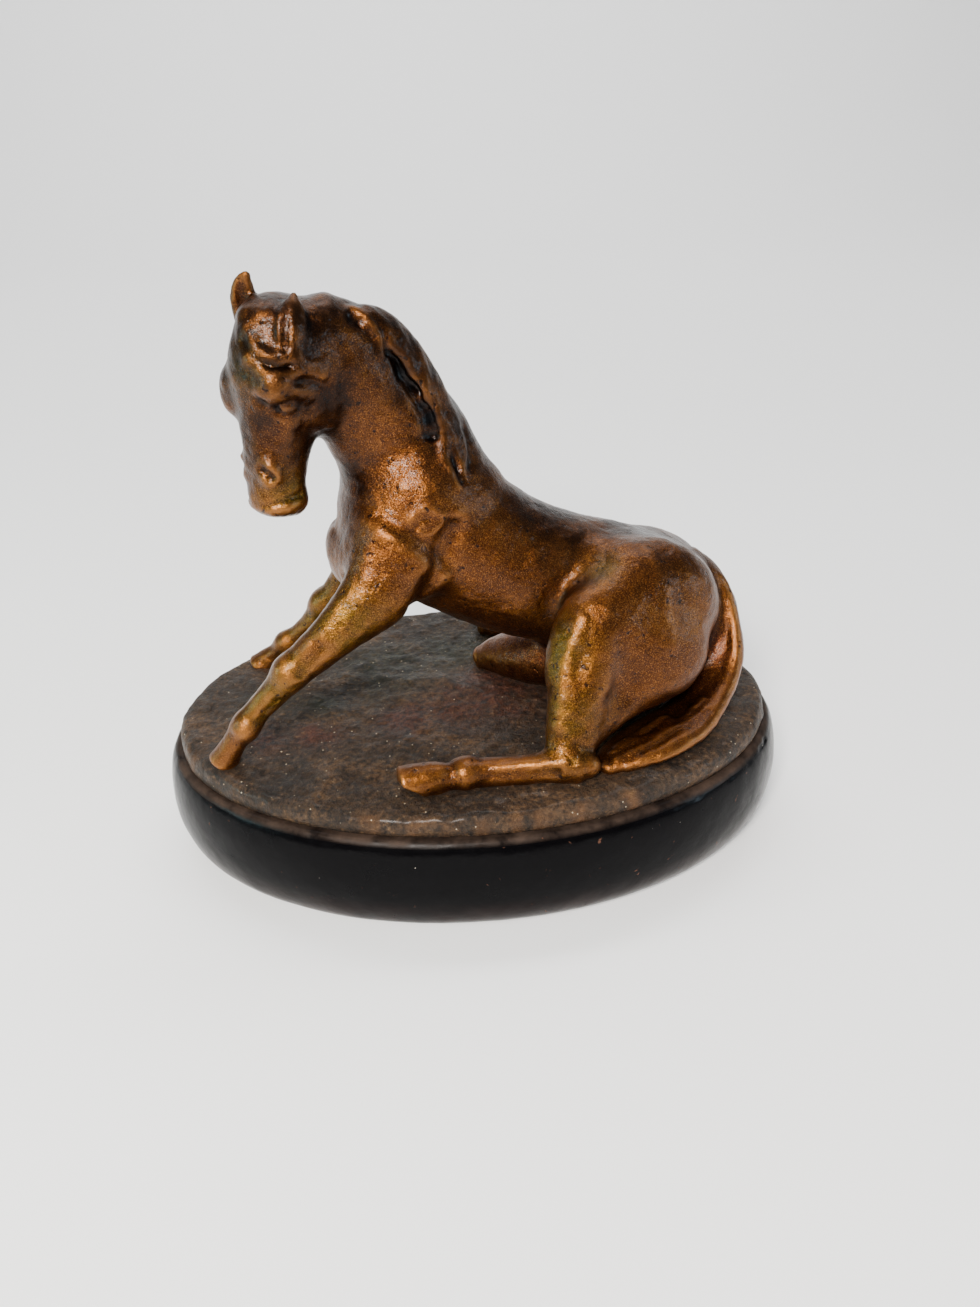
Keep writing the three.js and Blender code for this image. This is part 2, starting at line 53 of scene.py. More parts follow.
PLINTH_LOW, PLINTH_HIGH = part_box("plinth")

# ---- Camera ---------------------------------------------------------------

CAMERA_PLACE = Vector((-0.0230, -0.3362, 0.2679))
CAMERA_AIM = Vector((0.0064, -0.0006, 0.0695))
CAMERA_ROLL = np.radians(-1.4)
LENS = 27.05


def add_camera():
    """One camera, placed by where it stands, what it aims at and how far it rolls."""
    data = bpy.data.cameras.new("camera")
    data.lens = LENS
    data.clip_start = 0.01
    camera = bpy.data.objects.new("camera", data)
    bpy.context.collection.objects.link(camera)
    turn = (CAMERA_AIM - CAMERA_PLACE).to_track_quat("-Z", "Y").to_matrix()
    turn = turn @ Matrix.Rotation(CAMERA_ROLL, 3, "Z")
    camera.matrix_world = Matrix.Translation(CAMERA_PLACE) @ turn.to_4x4()
    bpy.context.scene.camera = camera


add_camera()

# ---- Form of the horse ----------------------------------------------------
# Everything in this section is in millimetres: x towards the rump, y towards the
# horse's right side, and the height above the soles of its hooves.
# Stations are rows of x, y, height, half width, half depth.

TRUNK = [(-40, 2, 66, 16, 16), (-26, 2, 75, 21, 25), (-9, 2, 71, 24, 28), (11, 2, 59, 25, 27),
         (33, 2, 50, 25, 26), (54, 2, 42, 24.5, 28), (74, 2, 35, 22, 26), (90, 1, 25, 16, 19)]
NECK = [(-15, 2, 86, 18, 24.5), (-22, 1, 105, 15.5, 24), (-31, -2, 122, 13.5, 21.5),
        (-40, -7, 138, 12, 19), (-50, -11, 149, 11, 14)]
NECK_SIDES = [(0, -1, 0), (0.05, -1, 0), (0.2, -0.95, 0), (0.45, -0.85, 0), (0.67, -0.74, 0)]
FORELEG_NEAR = [(-24, -19, 74, 10, 17), (-36, -25, 61, 8.5, 13), (-50, -30, 50, 7, 9),
                (-61, -31.5, 41, 6.2, 7),
                (-67.5, -32, 35.5, 6.2, 6.4), (-73, -32.5, 30, 5.2, 5.4), (-80, -33, 23, 4.4, 4.9),
                (-86, -33.5, 16.5, 4.6, 5), (-90, -34, 11, 4.2, 4.4), (-93, -34, 6.5, 4.6, 4.6),
                (-96.5, -34, 1, 5.4, 5.6)]
FORELEG_FAR = [(-22, 22, 72, 10, 17), (-34, 26, 58, 8.5, 12), (-45, 29, 45, 7, 9), (-54, 31, 34, 6, 6.8),
               (-59, 32, 28, 6, 6.2), (-64, 33, 22, 5, 5.2), (-71, 35, 15, 4.2, 4.6),
               (-77, 36, 10, 4.8, 5.4),
               (-82, 37, 5.5, 4.2, 4.4), (-86, 38, 2, 5, 5), (-90, 38.5, -2, 6.2, 6.4)]
THIGH_NEAR = [(60, -24, 46, 14, 22), (43, -33, 47, 12, 16), (36, -41, 36, 9, 14),
              (33, -47, 26, 7.5, 11), (29.5, -52, 16, 6, 8.4), (27.5, -56, 6, 5.6, 6.8)]
THIGH_FAR = [(66, 24, 36, 14, 20), (54, 32, 38, 12, 15), (52, 38, 29, 9, 13),
             (53, 43, 21, 7.5, 11.5), (54, 47, 14, 6.5, 9.5), (55, 50, 7, 6, 8.5)]
CANNON_NEAR = [(31, -58, 4, 6, 7), (22, -57.5, 4.2, 5.4, 6.2), (9, -57, 3.4, 4.8, 5.4),
               (-2, -56.5, 3.4, 5, 5.6),
               (-9, -56.5, 3.5, 5.6, 6), (-14, -57, 2.8, 4.4, 4.8), (-19, -57.5, 2.5, 5.4, 6),
               (-26, -58.5, 2, 3, 3.6)]
CANNON_FAR = [(58, 52, 4, 6, 7), (50, 52, 4, 5.2, 5.6), (38, 52, 3, 4.4, 4.8), (30, 52, 3, 4.8, 5.2),
              (24, 52, 3, 5.4, 6), (19, 52, 2.5, 4, 4.4), (15, 52, 2.5, 5, 6.3), (7, 52, 2.5, 3, 3.6)]
TAIL = [(85, 2, 53, 5, 5), (92, 0, 47, 6, 5), (95, -6, 33, 9, 4.5), (94, -15, 20, 10, 4.5),
        (88, -24, 11, 11, 5), (79, -34, 6, 12, 5), (66, -43, 4, 13, 4.6), (53, -49, 2.4, 11, 4),
        (42, -55, 1, 5.5, 3)]
TAIL_SIDES = [(0.7, -0.6, 0.3), (0.8, -0.4, 0.3), (0.95, -0.25, 0.1), (0.9, -0.4, 0.2), (0.7, -0.6, 0.2),
              (0.5, -0.8, 0.15), (0.45, -0.85, 0.1), (0.4, -0.9, 0.1), (0.4, -0.9, 0.1)]
NEAR_SIDE = (0, -1, 0)

# The head's own frame: from the poll towards the muzzle, to the horse's left, and to the forehead
HEAD_TURN = np.radians(42)
HEAD_DROP = np.radians(82)
POLL = np.array([-60.5, -14, 156])
FACING = np.array([-np.cos(HEAD_TURN), -np.sin(HEAD_TURN), 0])
HEAD_LEFT = np.array([np.sin(HEAD_TURN), -np.cos(HEAD_TURN), 0])
TO_MUZZLE = FACING * np.cos(HEAD_DROP) - np.array([0, 0, np.sin(HEAD_DROP)])
TO_FOREHEAD = FACING * np.sin(HEAD_DROP) + np.array([0, 0, np.cos(HEAD_DROP)])
HEAD_AXES = np.stack([TO_MUZZLE, HEAD_LEFT, TO_FOREHEAD])


def smooth_rows(rows, steps):
    """Catmull-Rom curve through rows of numbers, with the end rows kept."""
    rows = np.asarray(rows, float)
    rows = np.vstack([2 * rows[0] - rows[1], rows, 2 * rows[-1] - rows[-2]])
    a, b, c, d = rows[:-3, None], rows[1:-2, None], rows[2:-1, None], rows[3:, None]
    t = np.linspace(0, 1, steps, endpoint=False)[None, :, None]
    curve = 0.5 * (2 * b + (c - a) * t + (2 * a - 5 * b + 4 * c - d) * t**2 + (3 * b - a - 3 * c + d) * t**3)
    return np.vstack([curve.reshape(-1, rows.shape[1]), rows[-2:-1]])


def unit(vectors):
    return vectors / np.linalg.norm(vectors, axis=-1, keepdims=True)


def smooth_min(a, b, k):
    """The smaller of two distances, rounded over a zone k wide where they are close."""
    h = np.maximum(k - np.abs(a - b), 0) / k
    return np.minimum(a, b) - h * h * k * 0.25


class Sweep:
    """Oval sections carried along a smooth curve.

    A point's place along the curve is where the plane through it meets both neighbouring
    stations' planes, so the surface runs smoothly from one stretch into the next."""

    def __init__(self, stations, side=NEAR_SIDE, steps=6, bulge=(0.7, 0.7)):
        rows = smooth_rows(stations, steps)
        self.centre = rows[:, :3]
        self.radius = np.maximum(rows[:, 3:5], 0.25)
        side = np.asarray(side, float)
        side = np.broadcast_to(side, self.centre.shape) if side.ndim == 1 else smooth_rows(side, steps)
        self.tangent = unit(np.gradient(self.centre, axis=0))
        along = (side * self.tangent).sum(1, keepdims=True)
        self.side = unit(side - along * self.tangent)
        self.depth = np.cross(self.tangent, self.side)
        self.bulge = bulge

    def reach(self, margin):
        far = self.radius.max(1)[:, None] + margin
        return (self.centre - far).min(0), (self.centre + far).max(0)

    def distance(self, p):
        """Distance from the surface, negative inside, worked out stretch by stretch."""
        out = np.full(len(p), 1e3, np.float32)
        last = len(self.centre) - 2
        for i in range(last + 1):
            a, b = self.centre[i], self.centre[i + 1]
            da = (p - a) @ self.tangent[i]
            db = (p - b) @ self.tangent[i + 1]
            inside = ((da >= 0) | (i == 0)) & ((db <= 0) | (i == last))
            span = np.linalg.norm(b - a) + self.radius[i:i + 2].max() + 12
            inside &= ((p - (a + b) / 2)**2).sum(1) < span**2
            if not inside.any():
                continue
            q, da, db = p[inside], da[inside], db[inside]
            t = np.clip(da / np.maximum(da - db, 1e-6), 0, 1)
            t = np.where(da < 0, 0, np.where(db > 0, 1, t))[:, None]
            over = np.where(da < 0, da / self.bulge[0], np.where(db > 0, db / self.bulge[1], 0))
            centre = a + (b - a) * t
            side = self.side[i] + (self.side[i + 1] - self.side[i]) * t
            deep = self.depth[i] + (self.depth[i + 1] - self.depth[i]) * t
            radius = self.radius[i] + (self.radius[i + 1] - self.radius[i]) * t
            out[inside] = np.minimum(out[inside],
                                     self.section_distance(q - centre, side, deep, radius, over))
        return out

    @staticmethod
    def section_distance(q, side, deep, radius, over):
        """Distance from an oval section, with a rounded cap where the point lies past an end."""
        w, d = radius[:, 0], radius[:, 1]
        u = (q * side).sum(1)
        v = (q * deep).sum(1)
        cap = np.minimum(w, d)
        e = np.sqrt((u / w)**2 + (v / d)**2 + (over / cap)**2) + 1e-9
        slope = np.sqrt((u / w**2)**2 + (v / d**2)**2 + (over / cap**2)**2) / e
        return (e - 1) / np.maximum(slope, 1 / np.maximum(w, d))


class Ball:
    """Ellipsoid: centre, radii, and the directions of the radii as rows."""

    def __init__(self, centre, radii, axes=np.eye(3)):
        self.centre = np.asarray(centre, float)
        self.radii = np.asarray(radii, float) * np.ones(3)
        self.axes = unit(np.asarray(axes, float))

    def reach(self, margin):
        far = self.radii.max() + margin
        return self.centre - far, self.centre + far

    def distance(self, p):
        q = (p - self.centre) @ self.axes.T
        e = np.sqrt(((q / self.radii)**2).sum(1)) + 1e-9
        slope = np.sqrt(((q / self.radii**2)**2).sum(1)) / e
        return (e - 1) / np.maximum(slope, 1 / self.radii.max())


def head(along, left=0, forehead=0):
    """A point of the head: distance from the poll towards the muzzle, to its left, and to the forehead."""
    return POLL + TO_MUZZLE * along + HEAD_LEFT * left + TO_FOREHEAD * forehead


def head_ball(place, radii):
    """An ellipsoid whose centre and radii are given in the head's own frame."""
    return Ball(head(*place), radii, HEAD_AXES)


def head_sweep(rows, side=HEAD_LEFT, **settings):
    """A sweep whose rows are [along, left, forehead, half width, half depth] in the head's frame."""
    stations = [np.r_[head(*row[:3]), row[3:]] for row in rows]
    return Sweep(stations, side, **settings)


def strand(points, width, depth, side=NEAR_SIDE, tip=0.25):
    """A lock of hair or a fold: a sweep that swells in its middle and tapers to its tip."""
    points = np.asarray(points, float)
    swell = np.interp(np.linspace(0, 1, len(points)), [0, 0.45, 1], [0.7, 1, tip])
    return Sweep(np.c_[points, width * swell, depth * swell], side)


def add(form, softness):
    """A form that is joined on, with a fillet of the given softness."""
    return ("add", form, softness)


def cut(form, softness):
    """A form that is taken away, with a soft edge."""
    return ("cut", form, softness)


def groove(points, depth, width):
    """A soft furrow along a path, deepest on the path; a negative depth raises a ridge."""
    rows = np.c_[np.asarray(points, float), np.full((len(points), 2), 0.25)]
    return (depth, Sweep(rows, steps=3), width)


def ridge(points, height, width):
    """A soft raised line along a path."""
    return groove(points, -height, width)


def head_line(points, depth, width, side=1):
    """A groove, or with a negative depth a ridge, along points of the head's own frame."""
    return groove([head(along, left * side, forehead) for along, left, forehead in points], depth, width)


def head_dent(place, depth, width):
    """A round hollow at one place of the head's frame; a negative depth raises a bump."""
    return (depth, head_ball(place, (0.5, 0.5, 0.5)), width)


BLADE_TILT = [(0.8, 0, -0.6), (0, 1, 0), (0.6, 0, 0.8)]


def trunk_forms():
    """Barrel, breast, shoulders, quarters and the folded far thigh under the belly."""
    far_thigh = [(60, 10, 16, 18, 18), (40, 10, 13, 17, 16), (24, 15, 9, 14, 12), (11, 22, 5, 8, 8),
                 (5, 25, 3, 5, 5)]
    ham = [(66, -28, 28, 9, 12), (54, -36, 21, 8, 9.5), (44, -44, 15.5, 6, 7), (35, -51, 10, 4.5, 5)]
    return [
        add(Sweep(TRUNK, bulge=(0.8, 0.6)), 0.1),
        add(Ball((-36.5, -7, 65), (12, 11, 10)), 7),
        add(Ball((-35.5, 12, 64), (11, 10, 9)), 7),
        add(Ball((-25, -13, 79), (17, 11, 26), BLADE_TILT), 9),
        add(Ball((-24, 17, 78), (17, 11, 26), BLADE_TILT), 9),
        add(Ball((63, -15, 43), (29, 19, 28)), 9),
        add(Ball((68, 17, 36), (28, 17, 25)), 9),
        add(Ball((75, 2, 20), (23, 20, 26)), 9),
        add(Ball((59, -30, 30), (25, 13, 19)), 9),
        add(Sweep(ham, (0, -1, 0.3), bulge=(0.5, 0.5)), 8),
        add(Sweep(far_thigh, bulge=(0.6, 0.6)), 7),
    ]


def limb_forms():
    """Legs, with the knees, fetlocks and hocks swelling from them and the hooves cut square."""
    hind_hoof = [(-14, -57.5, 3.4, 4.2, 4.6), (-18.5, -58, 4, 5.4, 5.6), (-24, -58.8, 4.2, 6.2, 6),
                 (-31, -60, 4, 6.6, 6.2)]
    sole_facing = unit(np.array([-0.5, -0.45, -0.74]))
    return {
        "hindleg_near_casting": [
            add(Sweep(THIGH_NEAR, (0, -1, 0.3), bulge=(0.6, 0.8)), 8),
            add(Sweep(CANNON_NEAR, bulge=(0.6, 0.5)), 4),
            add(Ball((35, -59, 5), (5, 4.5, 5)), 3),
            add(Ball((-8.5, -57, 4.3), (4, 5.6, 4.4)), 4),
            add(Sweep(hind_hoof, bulge=(0.5, 0.25)), 1.2),
            cut(Ball(np.array([-31, -57.3, 2.6]) + sole_facing * 60, (60, 60, 60)), 0.8),
        ],
        "hindleg_far_casting": [
            add(Sweep(THIGH_FAR, (0, 1, 0.3), bulge=(0.6, 0.8)), 8),
            add(Sweep(CANNON_FAR, bulge=(0.6, 0.5)), 4),
            add(Ball((61, 53, 5), (5, 4.5, 5)), 3),
        ],
        "foreleg_near_casting": [
            add(Sweep(FORELEG_NEAR, bulge=(0.5, 0.3)), 8),
            add(Ball((-68.5, -32.6, 37), (5, 5.4, 5.5)), 4),
            add(Ball((-86, -34, 15.6), (4.4, 5.2, 4.6)), 3),
        ],
        "foreleg_far_casting": [
            add(Sweep(FORELEG_FAR, bulge=(0.5, 0.3)), 8),
            add(Ball((-60, 32.6, 30), (5, 5.4, 5.5)), 4),
            add(Ball((-77, 36.5, 9.6), (4.4, 5.2, 4.6)), 3),
        ],
    }


def skull_forms():
    """Skull, jaws, brows, lips and chin."""
    rows = [(2, 0, -1, 11, 12), (11, 0, -2, 14.5, 15.5), (22, 0, -3, 15.5, 16.5), (33, 0, -2.5, 13, 13.5),
            (43, 0, -1.5, 10.6, 11), (52, 0, -1, 9.6, 9.8), (60, 0, -1, 10.4, 9.6)]
    return [
        add(head_sweep(rows, bulge=(0.7, 0.6)), 8),
        add(head_ball((23, 9.5, -7), (13, 6, 10)), 4),
        add(head_ball((23, -9.5, -7), (13, 6, 10)), 4),
        add(head_ball((21, 11, 6.5), (6, 4.5, 5)), 4),
        add(head_ball((25, -10.5, 7), (8, 5, 4.6)), 4),
        add(head_ball((49, 5.8, 5), (5.5, 3.6, 4)), 3),
        add(head_ball((49, -5.4, 4.4), (5.5, 3.4, 4)), 3),
        add(head_ball((60, 0, -5.5), (5, 8, 5)), 3),
    ]


def face_forms():
    """Eyes set under the brows, lids, cheek bones, jaw rims, nostrils and mouth."""
    forms = []
    for side in (1, -1):
        forms += [
            head_line([(27.1, 11.2, 6.2), (26.9, 13.6, 2.7), (25.8, 15.2, -2.3)], 1.4, 2.2, side),
            add(head_ball((26.3, 12.4 * side, 3), (2.7, 2.3, 3.4)), 0.8),
            head_line([(22.4, 8.2, 10.8), (21.3, 12.2, 6.9), (21.9, 14.7, 2.3), (24.5, 15.6, -2.6)], -1.2,
                      1.4, side),
            head_line([(29.8, 10.2, 6.6), (30.4, 11.8, 4.4), (29.8, 13.6, 0.8)], -0.6, 0.8, side),
            head_line([(33, 13, 1.5), (38, 11.4, 2.4), (43, 9.6, 3)], -0.6, 1.7, side),
            head_line([(33.5, 12.9, -2.4), (38.6, 10.7, -6.6)], 0.8, 2.4, side),
            head_line([(12, 16.6, -9), (16.2, 17.3, -10.5), (25.3, 16.1, -12), (34.2, 11.9, -13.9)], -0.7,
                      1.3, side),
            head_line([(47.6, 5.4, 8.6), (48.6, 7.2, 7.8), (50, 8.2, 7)], 2.2, 0.9, side),
            head_line([(46.4, 7.6, 7.6), (48.4, 9, 6.2), (50.8, 9, 5.6)], -0.5, 1, side),
            head_line([(36, 3.6, 9.6), (43, 3, 9), (48, 2.4, 8.6)], -0.35, 1.6, side),
        ]
    forms.append(head_dent((25.4, 8.1, 10), 1.1, 1.2))
    lips = [(56.5, 9.8, -3.6), (57.8, 9, 2), (59.6, 6, 5.5), (60.4, 0, 7), (59.6, -6, 5.5), (57.8, -9, 2),
            (56.5, -9.8, -3.6)]
    forms.append(head_line(lips, 0.9, 0.7))
    forms.append(head_line([(61.5, 8, -3.6), (63, 3, -2.4), (63, -3, -2.4)], 0.7, 0.9))
    return forms


def ear_forms():
    """Both ears as leaves with a long hollow in front."""
    near_side = HEAD_AXES.T @ np.array([-0.16, 0.35, -0.92])
    far_side = (0.995, -0.1, 0)
    near = [(12, 12.5, 1.5, 3.6, 3), (5.5, 12.4, 1.6, 4.8, 2.8), (0.5, 11.4, 0.6, 4.5, 2.5),
            (-3.4, 10, -1, 3, 2), (-5.8, 9, -2, 1.1, 1)]
    far = [(7, -8.5, 1, 4.4, 3.2), (1, -9.2, 2.4, 4.6, 2.8), (-4.5, -9.8, 3.2, 4, 2.2),
           (-8.2, -8.8, 3.4, 2.8, 1.6), (-10.4, -7.4, 3.2, 1.1, 0.8)]
    return [
        add(head_sweep(near, near_side), 2),
        add(head_sweep(far, far_side), 2),
        cut(head_sweep([(10, 14.6, 5.6, 1.2, 1.8), (4, 14.6, 5.8, 2.2, 2.6), (-1, 13.4, 4.6, 1.8, 2.3),
                        (-4, 11.6, 2.4, 0.7, 1)], near_side), 0.8),
        cut(head_sweep([(4, -7.6, 5.6, 1.2, 1.6), (-1.5, -8, 5.2, 2.6, 1.8), (-6, -8, 5.4, 2, 1.5),
                        (-9, -7.6, 5, 0.8, 0.8)], far_side), 0.8),
    ]


def forelock_forms():
    """Locks that sweep from the forehead to the near side over the brow."""
    return [
        head_line([(4, 1.6, 10.6), (6.1, 3.8, 10.7), (10.1, 6.4, 10.9), (11.7, 10.1, 8.8),
                   (11.8, 12.7, 5.2), (11, 14.4, 1)], -1.9, 1.15),
        head_line([(12.4, 5.2, 11.4), (13.5, 6.8, 11.2), (17, 9.9, 9.2), (18.3, 12.5, 6.3),
                   (15.8, 14.7, 2.3),
                   (15.4, 15.9, -2.6), (17.1, 16.5, -7.2)], -1.8, 1.2),
        head_line([(7.6, 2.6, 12.2), (12, 7.4, 10.8), (15, 11, 7.6), (14, 14, 3.4)], 0.9, 1),
        head_line([(-1, -1, 9), (5, 0, 12), (10, 3, 12.6), (14, 5, 12.4)], -0.7, 1.3),
        head_line([(19.4, 9, 9.8), (20.4, 12.6, 5.8), (18.4, 15.6, 0.6), (19.6, 16.8, -5)], 0.6, 1),
        head_line([(13.6, 14.8, 1), (13.2, 16.4, -4), (14.8, 17, -8)], -0.9, 1),
    ]


def mane_forms():
    """A sheet of hair from the crest down the near side of the neck, with wavy locks in it."""
    sheet = [(-39, -10, 153, 3, 1.5), (-30, -8, 151.4, 5.2, 2.4), (-22.5, -6.5, 145, 6, 2.8),
             (-16.5, -6, 136.5, 6, 2.8),
             (-11.5, -6, 127.5, 6, 2.8), (-8, -6.5, 119, 5.5, 2.6), (-5.5, -8, 111, 5, 2.4),
             (-4.5, -10, 103, 4, 2),
             (-3.5, -12, 96, 2.5, 1.2)]
    return [
        add(Sweep(sheet, (-0.5, -0.75, -0.3), bulge=(0.5, 0.5)), 1.8),
        groove([(-24.5, -11, 141), (-22.8, -10, 138), (-21.2, -10.6, 133.7), (-17.9, -10.4, 128.4),
                (-15.6, -10.8, 123.3),
                (-13.8, -11.2, 118.9), (-13.9, -12.1, 113.2)], 1.5, 1.1),
        groove([(-18, -9.4, 130), (-13, -8.6, 125), (-11.4, -9.6, 118), (-12.4, -11, 112)], 1.4, 0.9),
        groove([(-36.6, -13.2, 152.6), (-34, -12.6, 151)], 1.1, 1.1),
        ridge([(-35, -11, 156.4), (-30.5, -11.4, 152.6), (-28.3, -12, 147.6), (-27, -12.6, 141.6)], 1.1,
              1.2),
        ridge([(-31.5, -8, 155.4), (-27, -9, 150.6), (-24.6, -10, 145.4), (-24, -11.4, 139.6)], 0.9, 1),
        groove([(-29.6, -10.4, 152), (-26.8, -10.8, 147), (-25.6, -11.8, 141.6)], 0.9, 0.8),
        ridge([(-25, -5, 150), (-20.6, -8, 145), (-18.6, -9, 139), (-19.4, -9.6, 133.4)], 0.8, 1),
        ridge([(-17, -5, 141.6), (-14, -7.6, 135.6), (-13.4, -8.6, 130), (-14.6, -9.4, 125)], 0.8, 0.9),
        ridge([(-11, -5.4, 131), (-10.4, -7.6, 125.4), (-10.8, -9, 120), (-11.6, -10, 115)], 0.9, 0.9),
        ridge([(-12.4, -6.4, 126), (-10.4, -7.4, 121.6), (-7.1, -8.6, 115.5), (-4.6, -8.8, 110.1)], 1, 1),
        ridge([(-8.8, -10.4, 112), (-9.4, -12.5, 107), (-7.4, -15, 102), (-4.7, -16.8, 95.9)], 1.3, 0.9),
        ridge([(-3.4, -6.3, 112), (-1.6, -8.6, 106), (-2.6, -11.4, 101), (-3.6, -14, 97)], 1, 0.9),
        groove([(-7, -9.6, 112), (-6.4, -11, 107), (-5, -13, 102), (-3, -15, 97)], 1.1, 0.8),
        groove([(-1, -5, 113), (1, -8, 106), (0, -11, 101)], 0.8, 0.9),
    ]


def muscle_lines():
    """Furrows and folds between the muscles, and a small raised mark on the shoulder."""
    return [
        groove([(-7, -22, 84), (-11, -24, 75), (-17, -25.5, 65), (-23, -25, 56)], 2.2, 2.6),
        groove([(-38, -20, 78), (-34, -25, 68)], 0.5, 4),
        groove([(-46, -20, 66), (-44, -26, 58), (-47, -31, 53)], 1.2, 2.2),
        groove([(31, -26, 62), (26.5, -27, 52), (24, -27, 40), (24, -27, 30)], 1.6, 3),
        groove([(46, -24, 66), (38, -25, 64)], 1, 5),
        groove([(47, -42, 46), (48, -45, 36), (43, -48, 26)], 0.8, 2.6),
        ridge([(35, -41, 55), (29.5, -46, 44), (27, -50, 32), (25.5, -55, 20)], 0.9, 1.8),
        groove([(34, -46, 44), (33.5, -50, 33), (33, -55, 20)], 0.5, 1.6),
        groove([(-56, -37, 48), (-64, -38, 38)], 0.9, 1.3),
        groove([(-73, -37.5, 28), (-81, -38, 19)], 0.8, 1.1),
        groove([(24, -63, 6), (12, -62.4, 5), (0, -62, 5)], 0.9, 1),
        ridge([(27, -62, 9), (14, -60, 8.4), (2, -60, 8)], 0.5, 0.9),
        groove([(-44, 2, 80), (-50, 2, 66), (-48, 2, 56)], 1.8, 3),
        ridge([(-22.6, -24, 87), (-20, -23.4, 90), (-16.6, -22.7, 91.6), (-13.8, -22.4, 90.8)], 0.55, 0.7),
        ridge([(-13, -22.6, 89.6), (-10.2, -21.9, 88.6), (-10.6, -22.4, 85.6), (-13, -23, 83.4),
               (-16, -23.8, 82.2),
               (-18.6, -24.3, 83.6), (-17.4, -24, 86)], 0.5, 0.65),
        ridge([(-26, -24.4, 96), (-22, -23, 99)], 0.4, 1),
        groove([(-20, -24, 86), (-16, -23.4, 88)], 0.4, 0.8),
    ]


def tail_forms():
    """The tail: a broad band with a rolled outer edge, a hollow inside it and wavy ends."""
    rim = [(90, -3, 52), (96.5, -5, 46), (100, -10, 36), (100.5, -17, 25), (96.5, -25, 14.5),
           (88.6, -35, 8.4),
           (78, -46, 5), (65, -53, 4), (50, -57, 1.5)]
    waves = [
        [(90, -31, 12), (83, -38, 9.6), (76, -43, 8.6), (69, -46, 8.6), (62, -50, 7), (55, -53, 6),
         (46, -56, 4)],
        [(84, -33, 12), (76, -39, 10.4), (68.6, -42.6, 9), (62, -47.6, 7.8), (54, -49.6, 6.6),
         (46, -53, 5)],
        [(76, -35, 11), (69, -38.6, 9.8), (62, -42.6, 8.4), (56, -46, 7), (48, -50, 5.6)],
        [(86, -41, 7), (78, -47.6, 6.4), (70, -51, 6), (62, -54, 5), (54, -57, 3)],
    ]
    forms = [
        add(Sweep(TAIL, TAIL_SIDES, bulge=(0.6, 0.8)), 5),
        add(strand(rim, 3, 2.8, (0, 0, 1), 0.5), 2.5),
        groove([(90, -9, 42), (92, -16, 30), (89, -24, 20), (81, -31, 13.5), (71, -37, 10.6)], 1.8, 3.4),
    ]
    forms += [ridge(points, 1.5, 0.95) for points in waves]
    forms += [
        groove([(87, -36, 9), (79, -42, 8.4), (71, -46, 8), (64, -51, 6.4), (55, -55, 5)], 1, 0.8),
        groove([(80, -37, 10), (72, -41, 9), (65, -45.6, 8), (58, -49, 6.6)], 0.9, 0.8),
    ]
    return forms


def horse_forms():
    """Every form in the order that it is worked in, grouped by the casting that it belongs to."""
    neck = [add(Sweep(NECK, NECK_SIDES, bulge=(0.5, 0.6)), 12)]
    forms = {"trunk_casting": trunk_forms(), "head_neck_casting": neck + skull_forms()}
    forms.update(limb_forms())
    detail = face_forms() + ear_forms() + forelock_forms() + mane_forms() + muscle_lines()
    forms["detail"] = detail
    forms["tail_casting"] = tail_forms()
    return forms


def form_distance(forms, p):
    """Distance from the joined forms: unions and cuts are rounded, and grooves press in softly."""
    total = np.full(len(p), 60.0, np.float32)
    for mode, form, softness in forms:
        low, high = form.reach(2.5 * softness + 6)
        near = np.all((p > low) & (p < high), axis=1)
        if not near.any():
            continue
        d = form.distance(p[near])
        if mode == "add":
            total[near] = smooth_min(total[near], d, softness)
        elif mode == "cut":
            total[near] = -smooth_min(-total[near], d, softness)
        else:
            total[near] += mode * np.exp(-np.maximum(d, 0)**2 / (2 * softness**2))
    return total


# ---- Skinning -------------------------------------------------------------

def cell_samples(distance, low, high, step, block=4):
    """Distances on a lattice, worked out only in the blocks that the surface may pass through."""
    size = step * block
    blocks = np.ceil((high - low) / size).astype(int) + 1
    index = np.stack(np.meshgrid(*[np.arange(n) for n in blocks], indexing="ij"), -1).reshape(-1, 3)
    middle = distance((low + (index + 0.5) * size).astype(np.float32))
    index = index[np.abs(middle) < size * 1.5]
    corners = np.stack(np.meshgrid(*[np.arange(block + 1)] * 3, indexing="ij"), -1).reshape(-1, 3)
    shape = blocks * block + 1
    nodes = (index[:, None] * block + corners[None]).reshape(-1, 3)
    keys = np.unique((nodes[:, 0] * shape[1] + nodes[:, 1]) * shape[2] + nodes[:, 2])
    nodes = np.stack([keys // (shape[1] * shape[2]), keys // shape[2] % shape[1], keys % shape[2]], -1)
    values = np.full(shape, np.nan, np.float32)
    values[tuple(nodes.T)] = distance((low + nodes * step).astype(np.float32))
    return values


